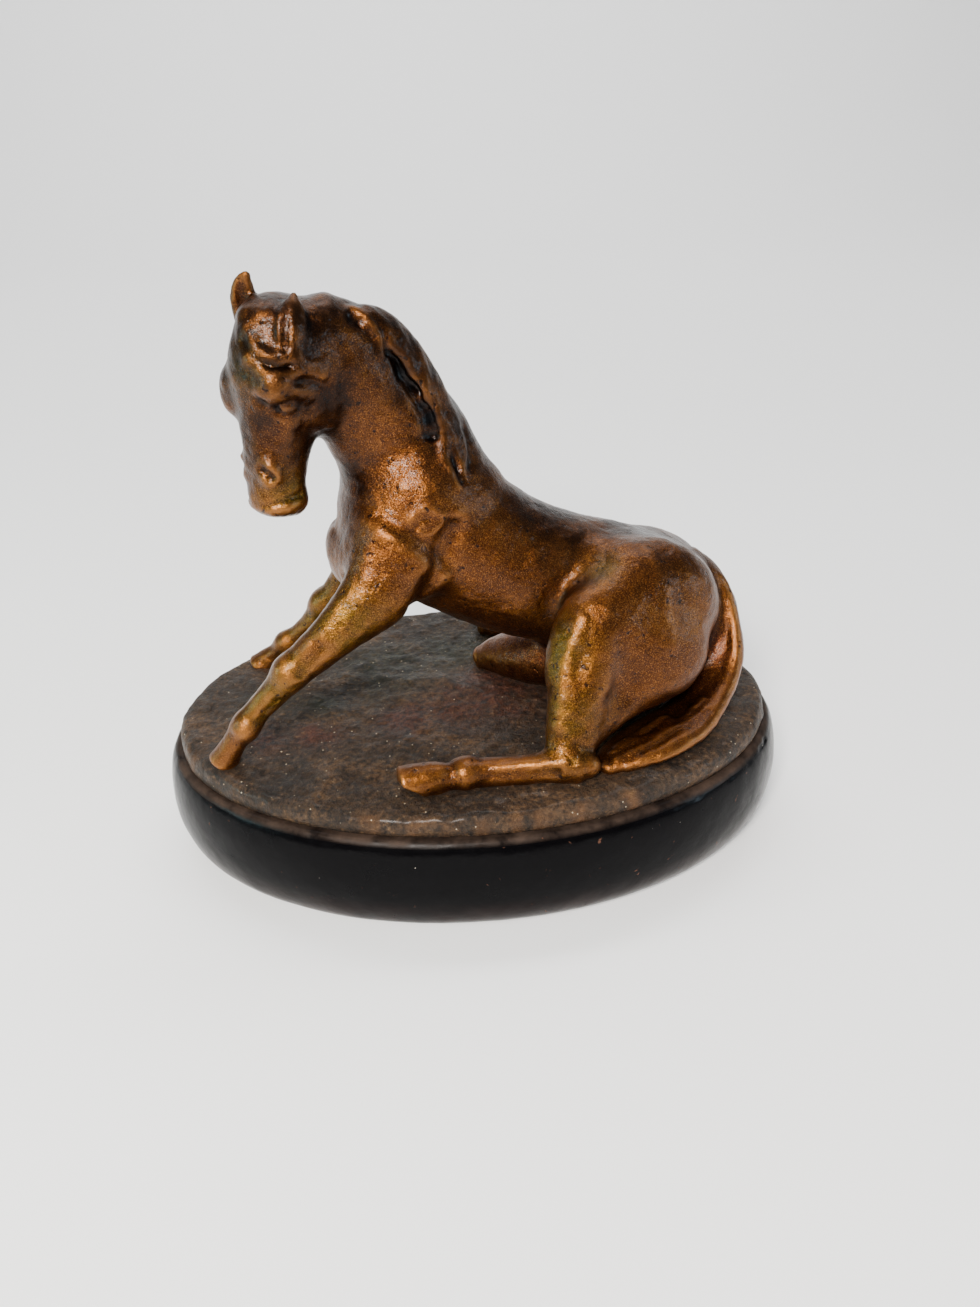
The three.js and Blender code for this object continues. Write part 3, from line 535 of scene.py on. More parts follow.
def skin(distance, low, high, step):
    """A closed surface where the distance is zero.

    Each lattice cell that the surface crosses gets one vertex, at the middle of the points
    where its edges cross, and each crossed lattice edge gets a face between its four cells."""
    low, high = np.asarray(low, float), np.asarray(high, float)
    values = cell_samples(distance, low, high, step)
    corners = np.stack(np.meshgrid([0, 1], [0, 1], [0, 1], indexing="ij"), -1).reshape(-1, 3)
    cells = np.array(values.shape) - 1
    window = lambda c: values[c[0]:c[0] + cells[0], c[1]:c[1] + cells[1], c[2]:c[2] + cells[2]]
    inside = sum((window(c) < 0).astype(np.int8) for c in corners)
    known = ~sum(np.isnan(window(c)).astype(np.int8) for c in corners).astype(bool)
    active = (inside > 0) & (inside < 8) & known
    cell = np.argwhere(active)
    value = np.stack([values[tuple((cell + c).T)] for c in corners], 1)
    total, count = np.zeros((len(cell), 3)), np.zeros((len(cell), 1))
    for i in range(8):
        for j in range(i + 1, 8):
            if np.abs(corners[i] - corners[j]).sum() != 1:
                continue
            crossed = ((value[:, i] < 0) != (value[:, j] < 0))[:, None]
            t = (value[:, i] / np.where(crossed[:, 0], value[:, i] - value[:, j], 1))[:, None]
            total += np.where(crossed, corners[i] + (corners[j] - corners[i]) * t, 0)
            count += crossed
    points = low + (cell + total / count) * step
    number = np.full(active.shape, -1, np.int32)
    number[tuple(cell.T)] = np.arange(len(cell))
    return points, crossing_faces(values, number)


def crossing_faces(values, number):
    """One four-sided face, facing outwards, around every lattice edge that the surface crosses."""
    faces = []
    for axis in range(3):
        start = np.take(values, range(values.shape[axis] - 1), axis)
        end = np.take(values, range(1, values.shape[axis]), axis)
        crossed = ((start < 0) != (end < 0)) & ~np.isnan(start) & ~np.isnan(end)
        edge = np.argwhere(crossed)
        one, two = np.zeros(3, int), np.zeros(3, int)
        one[(axis + 1) % 3] = 1
        two[(axis + 2) % 3] = 1
        around = np.stack([edge - one - two, edge - two, edge, edge - one], 1)
        limit = np.array(number.shape)
        good = np.all((around >= 0) & (around < limit), axis=(1, 2))
        face = number[tuple(np.clip(around, 0, limit - 1).reshape(-1, 3).T)].reshape(-1, 4)
        outward = start[tuple(edge.T)] < 0
        face[~outward] = face[~outward][:, ::-1]
        faces.append(face[good & (face >= 0).all(1)])
    return np.vstack(faces)


def vertex_normals(points, faces):
    """The mean direction of the faces round each vertex, larger faces counting for more."""
    facing = np.cross(points[faces[:, 2]] - points[faces[:, 0]], points[faces[:, 3]] - points[faces[:, 1]])
    total = np.zeros_like(points)
    for corner in range(4):
        for axis in range(3):
            total[:, axis] += np.bincount(faces[:, corner], facing[:, axis], len(points))
    return unit(total + 1e-12)


def neighbour_mean(values, faces):
    """The mean of each vertex's value over the corners of the faces round it."""
    width = values.shape[1]
    total, count = np.zeros_like(values), np.bincount(faces.ravel(), minlength=len(values))[:, None]
    mean = values[faces].mean(1)
    for corner in range(4):
        for axis in range(width):
            total[:, axis] += np.bincount(faces[:, corner], mean[:, axis], len(values))
    return total / np.maximum(count, 1)


def hollowness(points, faces, normals):
    """How far each vertex lies below its surroundings, in tenths of a millimetre, smoothed."""
    wide = points
    for _ in range(6):
        wide = neighbour_mean(wide, faces)
    sunk = ((wide - points) * normals).sum(1, keepdims=True) * 10
    for _ in range(2):
        sunk = neighbour_mean(sunk, faces)
    return sunk[:, 0]


def lattice_noise(p, size, seed):
    """Smooth noise between -1 and 1: random values on a lattice, blended by cubic weights."""
    p = np.asarray(p, float) / size + seed * 17.31
    cell = np.floor(p).astype(np.int64)
    t = p - cell
    t = t * t * (3 - 2 * t)
    total = 0
    for dx in (0, 1):
        for dy in (0, 1):
            for dz in (0, 1):
                key = (cell[:, 0] + dx) * 73856093 ^ (cell[:, 1] + dy) * 19349663 ^ (cell[:,
                    2] + dz) * 83492791
                key = (key ^ (key >> 13)) * 1274126177 & 0xFFFFFFFF
                value = (key ^ (key >> 16)) % 65536 / 32767.5 - 1
                weight = np.where(dx, t[:, 0], 1 - t[:, 0]) * np.where(dy, t[:, 1], 1 - t[:, 1])
                total = total + value * weight * np.where(dz, t[:, 2], 1 - t[:, 2])
    return total


# Patches of colour in the finish, as centre and reach in millimetres. The last list is not a colour of the
# finish but painted shade: near black in the mane's deep furrows and in the pit by the near eye.
PATINA_AND_SHADE = {
    "olive": [((25, -40, 42), 13), ((27, -48, 22), 12), ((-45, -30, 52), 14), ((-72, -33, 30), 18),
              ((-60, 33, 28), 26),
              ((45, -24, 66), 7), ((26, -55, 8), 9), ((-60, -26, 100), 9), ((-68, -22, 142), 9)],
    "umber": [((-60, -18, 150), 30), ((-40, -8, 160), 28), ((-20, -4, 140), 22), ((-2, 0, 112), 20),
              ((-44, -12, 100), 14),
              ((-60, -16, 125), 22), ((30, 2, 76), 24), ((62, 2, 66), 22), ((-44, -20, 130), 16),
              ((-10, -8, 100), 12),
              ((-44, -5, 118), 14)],
    "red": [((90, -18, 26), 14), ((82, -28, 17), 13), ((70, -36, 11), 9), ((12, -6, 20), 24),
            ((28, 0, 20), 24)],
    # Painted shade: near-black spots along the mane's deep furrows and in the pit by the near eye.
    "painted_shade": [((-13.8, -11, 119), 4), ((-15, -11, 123), 3), ((-17.9, -10, 129), 2.6),
              ((-21.5, -10, 134), 2.4),
              ((-37, -13, 153.4), 2.6), ((-14, -12, 113.5), 2.4), ((-65.4, -29.4, 132.2), 1.5)],
}


def patina_and_shade_masks(p):
    """How much of each patch colour a point has, the last being painted shade in the mane's furrows and by
    the eye: bell shapes round the named places, ragged by noise.
    """
    ragged = 1 + 0.5 * lattice_noise(p, 6, 3) + 0.35 * lattice_noise(p, 2.2, 5)
    masks = []
    for places in PATINA_AND_SHADE.values():
        level = np.zeros(len(p))
        for centre, reach in places:
            level = np.maximum(level, np.exp(-((p - centre)**2).sum(1) / (reach**2)))
        masks.append(np.clip(level * ragged, 0, 1))
    return np.stack(masks, 1)


# ---- Pieces ---------------------------------------------------------------

def make_object(name, points, faces, material):
    """A smooth-shaded mesh object at the origin, with one material."""
    mesh = bpy.data.meshes.new(name)
    mesh.from_pydata(points, [], faces.tolist())
    mesh.update()
    mesh.shade_smooth()
    mesh.materials.append(material)
    obj = bpy.data.objects.new(name, mesh)
    bpy.context.collection.objects.link(obj)
    return obj


def add_attribute(mesh, name, kind, values):
    """Stores one number or colour per vertex, for a material to read."""
    attribute = mesh.attributes.new(name, kind, "POINT")
    attribute.data.foreach_set("value" if kind == "FLOAT" else "color",
                               np.ascontiguousarray(values, np.float32).ravel())


def close_borders(mesh):
    """Fills each open border with a face fan, so that the piece is a closed solid."""
    work = bmesh.new()
    work.from_mesh(mesh)
    border = [edge for edge in work.edges if edge.is_boundary]
    filled = bmesh.ops.holes_fill(work, edges=border, sides=0)["faces"]
    bmesh.ops.poke(work, faces=filled)
    work.to_mesh(mesh)
    work.free()


JOINTS = {
    "head_neck_casting": (NECK, 1, 90),
    "foreleg_near_casting": (FORELEG_NEAR, 1.4, 70),
    "foreleg_far_casting": (FORELEG_FAR, 1.4, 70),
    "hindleg_near_casting": (THIGH_NEAR, 1.5, 70),
    "hindleg_far_casting": (THIGH_FAR, 1.5, 70),
    "tail_casting": (TAIL, 0.6, 36),
}


def in_root(p, stations, count, size):
    """Whether a point lies in the root of a limb, which belongs to the trunk's casting."""
    steps = 10
    curve = smooth_rows(np.asarray(stations, float)[:, :3], steps)
    index = int(round(count * steps))
    axis = unit(curve[index + 1] - curve[index - 1])
    q = p - curve[index]
    behind = -(q @ axis)
    aside = np.linalg.norm(q + behind[:, None] * axis, axis=1)
    return (behind > 0) & (behind < size) & (aside < size * 0.6)


def casting_labels(forms, centres):
    """Which casting each face belongs to: the nearest form's, except in the roots at the joints."""
    names = ["trunk_casting"] + list(JOINTS)
    plain = lambda name: [form for form in forms[name] if form[0] == "add"]
    distances = np.stack([form_distance(plain(name), centres) for name in names], 1)
    labels = distances.argmin(1)
    for number, name in enumerate(JOINTS, start=1):
        root = in_root(centres, *JOINTS[name]) & (labels == number)
        labels[root] = 0
    high = ~in_root(centres, *JOINTS["head_neck_casting"]) & (centres[:, 2] > 100) & (centres[:, 0] < 10)
    labels[high] = 1
    return names, labels


def smooth_labels(labels, faces, vertex_count, kinds, rounds=10):
    """Evens the borders between castings: each face takes the label that prevails around it."""
    share = np.zeros((vertex_count, kinds))
    for kind in range(kinds):
        own = (labels == kind).astype(float)
        for corner in range(4):
            share[:, kind] += np.bincount(faces[:, corner], own, vertex_count)
    for _ in range(rounds):
        share = neighbour_mean(share, faces)
    return share[faces].mean(1).argmax(1)


SKIN_STEP = 0.75
SKIN_LOW = (-112, -72, -3)
SKIN_HIGH = (110, 66, 172)
LEVEL_SOLE = -0.7


def horse_surface(forms):
    """The whole horse as one fine surface, with the marks of modelling tools on it."""
    joined = [form for group in forms.values() for form in group]

    def distance(p):
        level_sole = LEVEL_SOLE - p[:, 2]
        return np.maximum(form_distance(joined, p), level_sole)

    points, faces = skin(distance, SKIN_LOW, SKIN_HIGH, SKIN_STEP)
    normals = vertex_normals(points, faces)
    tooling = 0.3 * lattice_noise(points, 9, 1) + 0.15 * lattice_noise(points, 3.6,
        2) + 0.08 * lattice_noise(points, 1.7, 4)
    points = points + normals * tooling[:, None]
    return points, faces


def add_horse(material):
    """One surface for the whole horse, parted into its castings; they keep the whole's normals."""
    forms = horse_forms()
    points, faces = horse_surface(forms)
    normals = vertex_normals(points, faces)
    hollow = hollowness(points, faces, normals)
    masks = patina_and_shade_masks(points)
    names, labels = casting_labels(forms, points[faces].mean(1))
    labels = smooth_labels(labels, faces, len(points), len(names))
    for number, node in enumerate(names):
        own = faces[labels == number]
        used, flat = np.unique(own, return_inverse=True)
        place = points[used] * MM + (0, 0, SOLES)
        piece = make_object(node.replace("_casting", "_bronze"), place, flat.reshape(-1, 4), material)
        add_attribute(piece.data, "hollow", "FLOAT", hollow[used])
        add_attribute(piece.data, "tints", "FLOAT_COLOR", masks[used])
        close_borders(piece.data)
        own_normals = np.zeros((len(piece.data.vertices), 3))
        own_normals[:len(used)] = normals[used]
        piece.data.normals_split_custom_set_from_vertices(own_normals)
        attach(piece, "root")
        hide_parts(node)


def grid_faces(rows, columns):
    """Faces of a grid whose columns close into a ring."""
    i, j = np.meshgrid(np.arange(rows - 1), np.arange(columns), indexing="ij")
    k = (j + 1) % columns
    return np.stack([i * columns + j, i * columns + k, (i + 1) * columns + k, (i + 1) * columns + j],
                    -1).reshape(-1, 4)


def ring_surface(name, half_length, half_width, profile, columns, material, lift):
    """A closed oval body: a profile of (inset, height) rows carried round an oval.

    Far from the edge the rings shrink towards the middle in proportion, and a small last
    ring at each end is closed by a face. lift(points, row) moves the finished points."""
    profile = np.asarray(profile, float)
    angle = np.linspace(0, 2 * np.pi, columns, endpoint=False)
    inset = profile[:, :1]
    share = np.clip(1 - inset / half_width, 0.002, 1)
    x = np.where(inset > 6, half_length * share, half_length - inset) * np.cos(angle)
    y = np.where(inset > 6, half_width * share, half_width - inset) * np.sin(angle)
    z = np.repeat(profile[:, 1:2], columns, axis=1)
    points = np.stack([x, y, z], -1).reshape(-1, 3)
    points = lift(points, np.repeat(np.arange(len(profile)), columns))
    obj = make_object(name, points * MM, grid_faces(len(profile), columns), material)
    return obj, points


def close_and_shade(obj):
    """Fills the open ends of a ring surface and shades it smooth."""
    close_borders(obj.data)
    obj.data.shade_smooth()


GROUND_COLUMNS = 600
GROUND_PATINA = [
    [((-30, 26), 22), ((-4, 32), 22), ((22, 30), 20), ((-80, 8), 10), ((95, 10), 12), ((-62, 0), 9)],
    [((-8, -8), 14), ((12, -4), 14), ((-28, -14), 10), ((-62, -20), 8), ((6, 12), 12), ((-84, -20), 8),
     ((84, 20), 12)],
    [((-5, -79), 7), ((12, -77), 8), ((-22, -76), 7), ((30, -75), 7), ((-60, -57), 3), ((-108, -25), 5),
     ((48, -70), 6), ((-42, -71), 6)],
]


def ground_masks(points):
    """How green, how rusty and how rubbed each point of the ground is; the rubbing keeps to the rim."""
    flat = points * (1, 1, 0)
    ragged = 1 + 0.6 * lattice_noise(flat, 9, 31) + 0.5 * lattice_noise(flat, 3, 32)
    masks = [np.zeros(len(points)) for _ in GROUND_PATINA]
    for mask, places in zip(masks, GROUND_PATINA):
        for (x, y), reach in places:
            np.maximum(mask, np.exp(-((points[:, 0] - x)**2 + (points[:, 1] - y)**2) / reach**2), out=mask)
    spread = np.hypot(points[:, 0] / GROUND_HIGH[0], points[:, 1] / GROUND_HIGH[1]) * MM
    masks[2] *= np.clip((spread - 0.955) / 0.03, 0.12, 1) * np.clip(0.5 + lattice_noise(flat, 4, 33), 0, 1)
    return np.clip(np.stack(masks + [np.zeros(len(points))], 1) * ragged[:, None], 0, 1)


def add_ground(material):
    """The cast ground: uneven modelled earth inside a thick, rounded and ragged rim."""
    half_length, half_width = GROUND_HIGH[0] / MM, GROUND_HIGH[1] / MM
    foot, top = GROUND_LOW[2] / MM, GROUND_HIGH[2] / MM
    under = [(half_width * 0.998, foot), (half_width * 0.5, foot), (8, foot), (2, foot)]
    rim = [(0.7, foot), (0.2, foot + 1), (0, foot + 2.2), (0.1, foot + 3.6), (0.5, top - 2.4),
           (1.1, top - 1.4),
           (1.9, top - 0.6), (2.8, top - 0.15), (3.9, top + 0.1), (5, top + 0.1)]
    insets = np.linspace(6.1, half_width * 0.998, 142)
    profile = under + rim + [(inset, top) for inset in insets]

    def lift(points, row):
        x, y = points[:, 0], points[:, 1]
        spread = np.sqrt((x / half_length)**2 + (y / half_width)**2)
        upper = np.clip((points[:, 2] - top + 3) / 2.5, 0, 1)
        flat = np.c_[x, y, 0 * x]
        swell = 0.7 * lattice_noise(flat, 34, 7) + 0.6 * lattice_noise(flat, 13, 8)
        rough = 0.5 * lattice_noise(flat, 5.5, 9) + 0.3 * lattice_noise(flat, 2.8,
            10) + 0.14 * lattice_noise(flat, 1.6, 11)
        height = 0.35 + swell + rough + ground_features(x, y)
        ragged = 0.45 * lattice_noise(points, 8, 12) + 0.3 * lattice_noise(points, 3, 13)
        edge = np.exp(-((1 - spread) * half_width / 4)**2)
        out = points.copy()
        out[:, 2] += upper * (height * (1 - 0.45 * edge))
        side = (points[:, 2] > foot + 0.5) & (row < len(under) + len(rim))
        push = np.where(side, ragged - 0.3, 0)
        out[:, 0] += push * x / half_length
        out[:, 1] += push * y / half_width
        return out

    piece, points = ring_surface("ground_bronze", half_length, half_width, profile, GROUND_COLUMNS,
                                 material, lift)
    add_attribute(piece.data, "tints", "FLOAT_COLOR", ground_masks(points))
    close_and_shade(piece)
    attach(piece, "root")
    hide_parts("ground_casting")


def ground_features(x, y):
    """Heights of the larger marks in the earth: banks by the hooves, a ridge, lumps and hollows."""
    marks = [((-95, -37), 8, 0.8), ((-22, -66), 9, 0.7), ((-60, -57), 3, 1.2), ((-64, -60), 2, 1),
             ((-20, 10), 22, 1.2),
             ((10, -22), 16, -0.6), ((-45, -8), 18, -0.6), ((20, -8), 12, 1.2), ((66, -62), 9, 0.7),
             ((-38, -50), 5, -0.6),
             ((-75, 10), 12, 0.5), ((-30, -35), 7, 0.6), ((-5, -79), 4, -1), ((30, -72), 7, 0.6),
             ((104, -20), 9, 0.5),
             ((60, -52), 10, 1), ((88, -34), 8, 1), ((-70, -48), 5, 0.5), ((-12, -48), 6, -0.5),
             ((4, -66), 5, 0.5)]
    height = np.zeros_like(x)
    for (cx, cy), reach, tall in marks:
        height += tall * np.exp(-((x - cx)**2 + (y - cy)**2) / (2 * (reach / 1.6)**2))
    ridge_line = np.exp(-((y + 0.42 * x - 2 + 3 * np.sin(x / 9)) / 4)**2) * np.exp(-((x + 12) / 34)**2)
    return height + 1.1 * ridge_line


PLINTH_COLUMNS = 480


def add_plinth(material):
    """The plinth: a cushion-shaped side under a narrow worn ledge, carried round an oval."""
    half_length, half_width = PLINTH_HIGH[0] / MM, PLINTH_HIGH[1] / MM
    foot, top = PLINTH_LOW[2] / MM, PLINTH_HIGH[2] / MM
    middle, half = (foot + top) / 2, (top - foot) / 2
    turn = np.linspace(-np.pi / 2, np.pi / 2, 72)
    rounding = np.where(turn < 0, 9.0, 6.0)
    side = np.c_[rounding * (1 - np.cos(turn)), middle + half * np.sin(turn)]
    under = [(half_width * 0.998, foot), (half_width * 0.6, foot), (20, foot), (12, foot)]
    ledge = [(7, top), (9, top - 0.1), (12, top - 0.1), (half_width * 0.6, top - 0.1),
             (half_width * 0.998, top - 0.1)]
    profile = np.vstack([under, side, ledge])

    def lift(points, row):
        wear = 0.16 * lattice_noise(points, 16, 21) + 0.07 * lattice_noise(points, 5, 22)
        knocks = np.clip(lattice_noise(points, 4.5, 23) - 0.5, 0, 1) * 1.2
        shoulder = np.exp(-((points[:, 2] - top + 1.5) / 2.2)**2)
        outer = (row >= len(under)) & (row < len(under) + len(side))
        shift = np.where(outer, wear - 0.23 - knocks * shoulder, 0)
        length = np.hypot(points[:, 0] / half_length, points[:, 1] / half_width) + 1e-9
        out = points.copy()
        out[:, 0] += shift * points[:, 0] / half_length / length
        out[:, 1] += shift * points[:, 1] / half_width / length
        out[:, 2] += np.where(outer & (points[:, 2] > top - 3), 0.4 * shift, 0)
        return out

    piece, _ = ring_surface("plinth_lacquer", half_length, half_width, profile, PLINTH_COLUMNS, material,
                            lift)
    close_and_shade(piece)
    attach(piece, "root")
    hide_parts("plinth")


PLUG_COLUMNS = 48
PLUG_LIFT = 0.0004


def add_plug(node, material):
    """A screw plug: a slightly domed disc, its profile turned round the plug's own axis."""
    low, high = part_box(node)
    centre = (np.asarray(low) + np.asarray(high)) / 2
    radius = (high[0] - low[0]) / 2
    profile = np.array([(0.02, 0), (1, 0), (1.0, 0.7), (0.93, 0.97), (0.8, 1.08), (0.5, 1.16),
                        (0.02, 1.18)])
    angle = np.linspace(0, 2 * np.pi, PLUG_COLUMNS, endpoint=False)
    height = high[2] - low[2]
    x = centre[0] + radius * profile[:, :1] * np.cos(angle)
    y = centre[1] + radius * profile[:, :1] * np.sin(angle)
    z = low[2] + np.repeat(profile[:, 1:2], PLUG_COLUMNS, axis=1) * height + PLUG_LIFT
    piece = make_object(node + "_cap", np.stack([x, y, z], -1).reshape(-1, 3),
                        grid_faces(len(profile), PLUG_COLUMNS), material)
    close_borders(piece.data)
    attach(piece, "root")
    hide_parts(node)


# ---- Materials ------------------------------------------------------------

class Nodes:
    """Short names for adding and joining shader nodes."""

    def __init__(self, name):
        self.material = bpy.data.materials.new(name)
        self.material.use_nodes = True
        self.tree = self.material.node_tree
        self.shader = self.tree.nodes["Principled BSDF"]
        self.place = self.tree.nodes.new("ShaderNodeTexCoord").outputs["Object"]

    def link(self, source, target):
        self.tree.links.new(source, target)

    def feed(self, socket, value):
        if isinstance(value, bpy.types.NodeSocket):
            self.link(value, socket)
        else:
            socket.default_value = value

    def noise(self, scale, detail=4, roughness=0.55, distortion=0.0):
        node = self.tree.nodes.new("ShaderNodeTexNoise")
        node.inputs["Scale"].default_value = scale
        node.inputs["Detail"].default_value = detail
        node.inputs["Roughness"].default_value = roughness
        node.inputs["Distortion"].default_value = distortion
        self.link(self.place, node.inputs["Vector"])
        return node.outputs["Fac"]

    def flakes(self, scale, output="Color"):
        node = self.tree.nodes.new("ShaderNodeTexVoronoi")
        node.inputs["Scale"].default_value = scale
        self.link(self.place, node.inputs["Vector"])
        return node.outputs[output]

    def ramp(self, value, stops):
        """Stops are (position, grey or colour)."""
        node = self.tree.nodes.new("ShaderNodeValToRGB")
        elements = node.color_ramp.elements
        while len(elements) < len(stops):
            elements.new(0.5)
        for element, (position, colour) in zip(elements, stops):
            element.position = position
            element.color = (*colour, 1) if isinstance(colour, tuple) else (colour, colour, colour, 1)
        self.link(value, node.inputs["Fac"])
        return node.outputs["Color"]

    def mix(self, factor, a, b, blend="MIX"):
        node = self.tree.nodes.new("ShaderNodeMix")
        node.data_type = "RGBA"
        node.blend_type = blend
        self.feed(node.inputs["Factor"], factor)
        for socket, value in ((node.inputs[6], a), (node.inputs[7], b)):
            self.feed(socket, (*value, 1) if isinstance(value, tuple) else value)
        return node.outputs[2]

    def math(self, operation, a, b=0.0, clamp=False):
        node = self.tree.nodes.new("ShaderNodeMath")
        node.operation = operation
        node.use_clamp = clamp
        self.feed(node.inputs[0], a)
        self.feed(node.inputs[1], b)
        return node.outputs[0]

    def attribute(self, name):
        node = self.tree.nodes.new("ShaderNodeAttribute")
        node.attribute_name = name
        return node

    def channels(self, colour):
        node = self.tree.nodes.new("ShaderNodeSeparateColor")
        self.link(colour, node.inputs[0])
        return node.outputs

    def height_axis(self):
        node = self.tree.nodes.new("ShaderNodeSeparateXYZ")
        self.link(self.place, node.inputs[0])
        return node.outputs[2]

    def bump(self, height, strength, distance, under=None):
        node = self.tree.nodes.new("ShaderNodeBump")
        node.inputs["Strength"].default_value = strength
        node.inputs["Distance"].default_value = distance
        self.link(height, node.inputs["Height"])
        if under is not None:
            self.link(under, node.inputs["Normal"])
        return node.outputs["Normal"]


def bronze_material():
    """Gold bronze paint under old lacquer: dark in the hollows, flaky where the light catches it, and
    painted shade, near black, in the mane's deep furrows and the pit by the near eye.
    """
    n = Nodes("lacquered_bronze")
    hollow = n.attribute("hollow").outputs["Fac"]
    tints = n.attribute("tints")
    olive, umber, red = n.channels(tints.outputs["Color"])[:3]
    # The alpha of these tints is painted shade for the mane's deep furrows and the pit by the near eye.
    painted_shade = tints.outputs["Alpha"]
    tone = n.ramp(n.noise(55, 5, 0.6), [(0.3, (0.050, 0.014, 0.002)), (0.52, (0.090, 0.027, 0.0036)),
                                        (0.72, (0.15, 0.050, 0.008))])
    tone = n.mix(n.math("MULTIPLY", olive, 0.8), tone, (0.095, 0.055, 0.0035))
    tone = n.mix(n.math("MULTIPLY", red, 0.85), tone, (0.055, 0.013, 0.006))
    grain = n.noise(2400, 2, 0.6)
    tone = n.mix(n.ramp(grain, [(0.36, 0.8), (0.5, 0.0)]), tone, (0.010, 0.0035, 0.001))
    tone = n.mix(n.ramp(grain, [(0.55, 0.0), (0.72, 0.6)]), tone, (0.42, 0.16, 0.035))
    sunk = n.ramp(n.math("ADD", n.math("MULTIPLY", hollow, 0.18), 0.32), [(0.36, 0.0), (0.8, 0.9)])
    tone = n.mix(sunk, tone, (0.006, 0.0025, 0.0015))
    proud = n.ramp(n.math("ADD", n.math("MULTIPLY", hollow, -0.25), 0.3), [(0.4, 0.0), (0.95, 0.5)])
    tone = n.mix(proud, tone, (0.34, 0.13, 0.03))
    tone = n.mix(n.math("MULTIPLY", umber, 0.95), tone, (0.14, 0.13, 0.15), "MULTIPLY")
    pits = n.ramp(n.noise(420, 2, 0.5), [(0.28, 1.0), (0.34, 0.0)])
    tone = n.mix(n.math("MULTIPLY", pits, 0.85), tone, (0.005, 0.0025, 0.002))
    # Painted shade: near black in the mane's deep furrows and the pit by the near eye.
    tone = n.mix(painted_shade, tone, (0.002, 0.002, 0.0025))
    n.link(tone, n.shader.inputs["Base Color"])
    n.shader.inputs["Metallic"].default_value = 0.95
    n.link(n.ramp(n.noise(90, 5, 0.65), [(0.3, 0.3), (0.7, 0.44)]), n.shader.inputs["Roughness"])
    n.shader.inputs["Coat Weight"].default_value = 0.2
    n.shader.inputs["Coat Roughness"].default_value = 0.1
    n.shader.inputs["Coat IOR"].default_value = 1.4
    lumps = n.bump(n.noise(210, 5, 0.62), 0.6, 0.0010)
    sparkle = n.bump(grain, 0.4, 0.0003, lumps)
    n.link(n.bump(pits, 0.5, -0.0004, sparkle), n.shader.inputs["Normal"])
    n.link(n.bump(n.noise(130, 5, 0.62), 0.7, 0.0016), n.shader.inputs["Coat Normal"])
    return n.material


def ground_material():
    """Dull brown cast bronze with a green zone, rusty patches, bright specks and a rubbed rim."""
    n = Nodes("earth_bronze")
    tints = n.attribute("tints")
    green, red, rubbed = n.channels(tints.outputs["Color"])[:3]
    tone = n.ramp(n.noise(36, 7, 0.66, 0.5),
                  [(0.32, (0.012, 0.0065, 0.003)), (0.5, (0.040, 0.021, 0.009)),
                   (0.68, (0.105, 0.054, 0.022))])
    tone = n.mix(n.math("MULTIPLY", green, 0.85), tone, (0.016, 0.018, 0.006))
    tone = n.mix(n.math("MULTIPLY", red, 0.8), tone, (0.070, 0.018, 0.008))
    fine = n.noise(560, 5, 0.72)
    tone = n.mix(n.ramp(fine, [(0.4, 0.9), (0.53, 0.0)]), tone, (0.005, 0.003, 0.0015))
    tone = n.mix(n.ramp(fine, [(0.57, 0.0), (0.7, 0.6)]), tone, (0.18, 0.10, 0.042))
    tone = n.mix(n.math("MULTIPLY", rubbed, 0.35), tone, (0.24, 0.10, 0.028))
    specks = n.ramp(n.flakes(520, "Distance"), [(0.10, 1.0), (0.17, 0.0)])
    chance = n.ramp(n.channels(n.flakes(520))[1], [(0.84, 0.0), (0.9, 1.0)])
    tone = n.mix(n.math("MULTIPLY", specks, chance), tone, (0.55, 0.44, 0.30))
    n.link(tone, n.shader.inputs["Base Color"])
    n.shader.inputs["Metallic"].default_value = 0.5
    n.link(n.ramp(n.noise(120, 5, 0.6), [(0.3, 0.42), (0.7, 0.78)]), n.shader.inputs["Roughness"])
    n.shader.inputs["Coat Weight"].default_value = 0.08
    n.shader.inputs["Coat Roughness"].default_value = 0.2
    coarse = n.bump(n.noise(150, 7, 0.7), 1.0, 0.0034)
    n.link(n.bump(fine, 0.7, 0.0009, coarse), n.shader.inputs["Normal"])
    return n.material


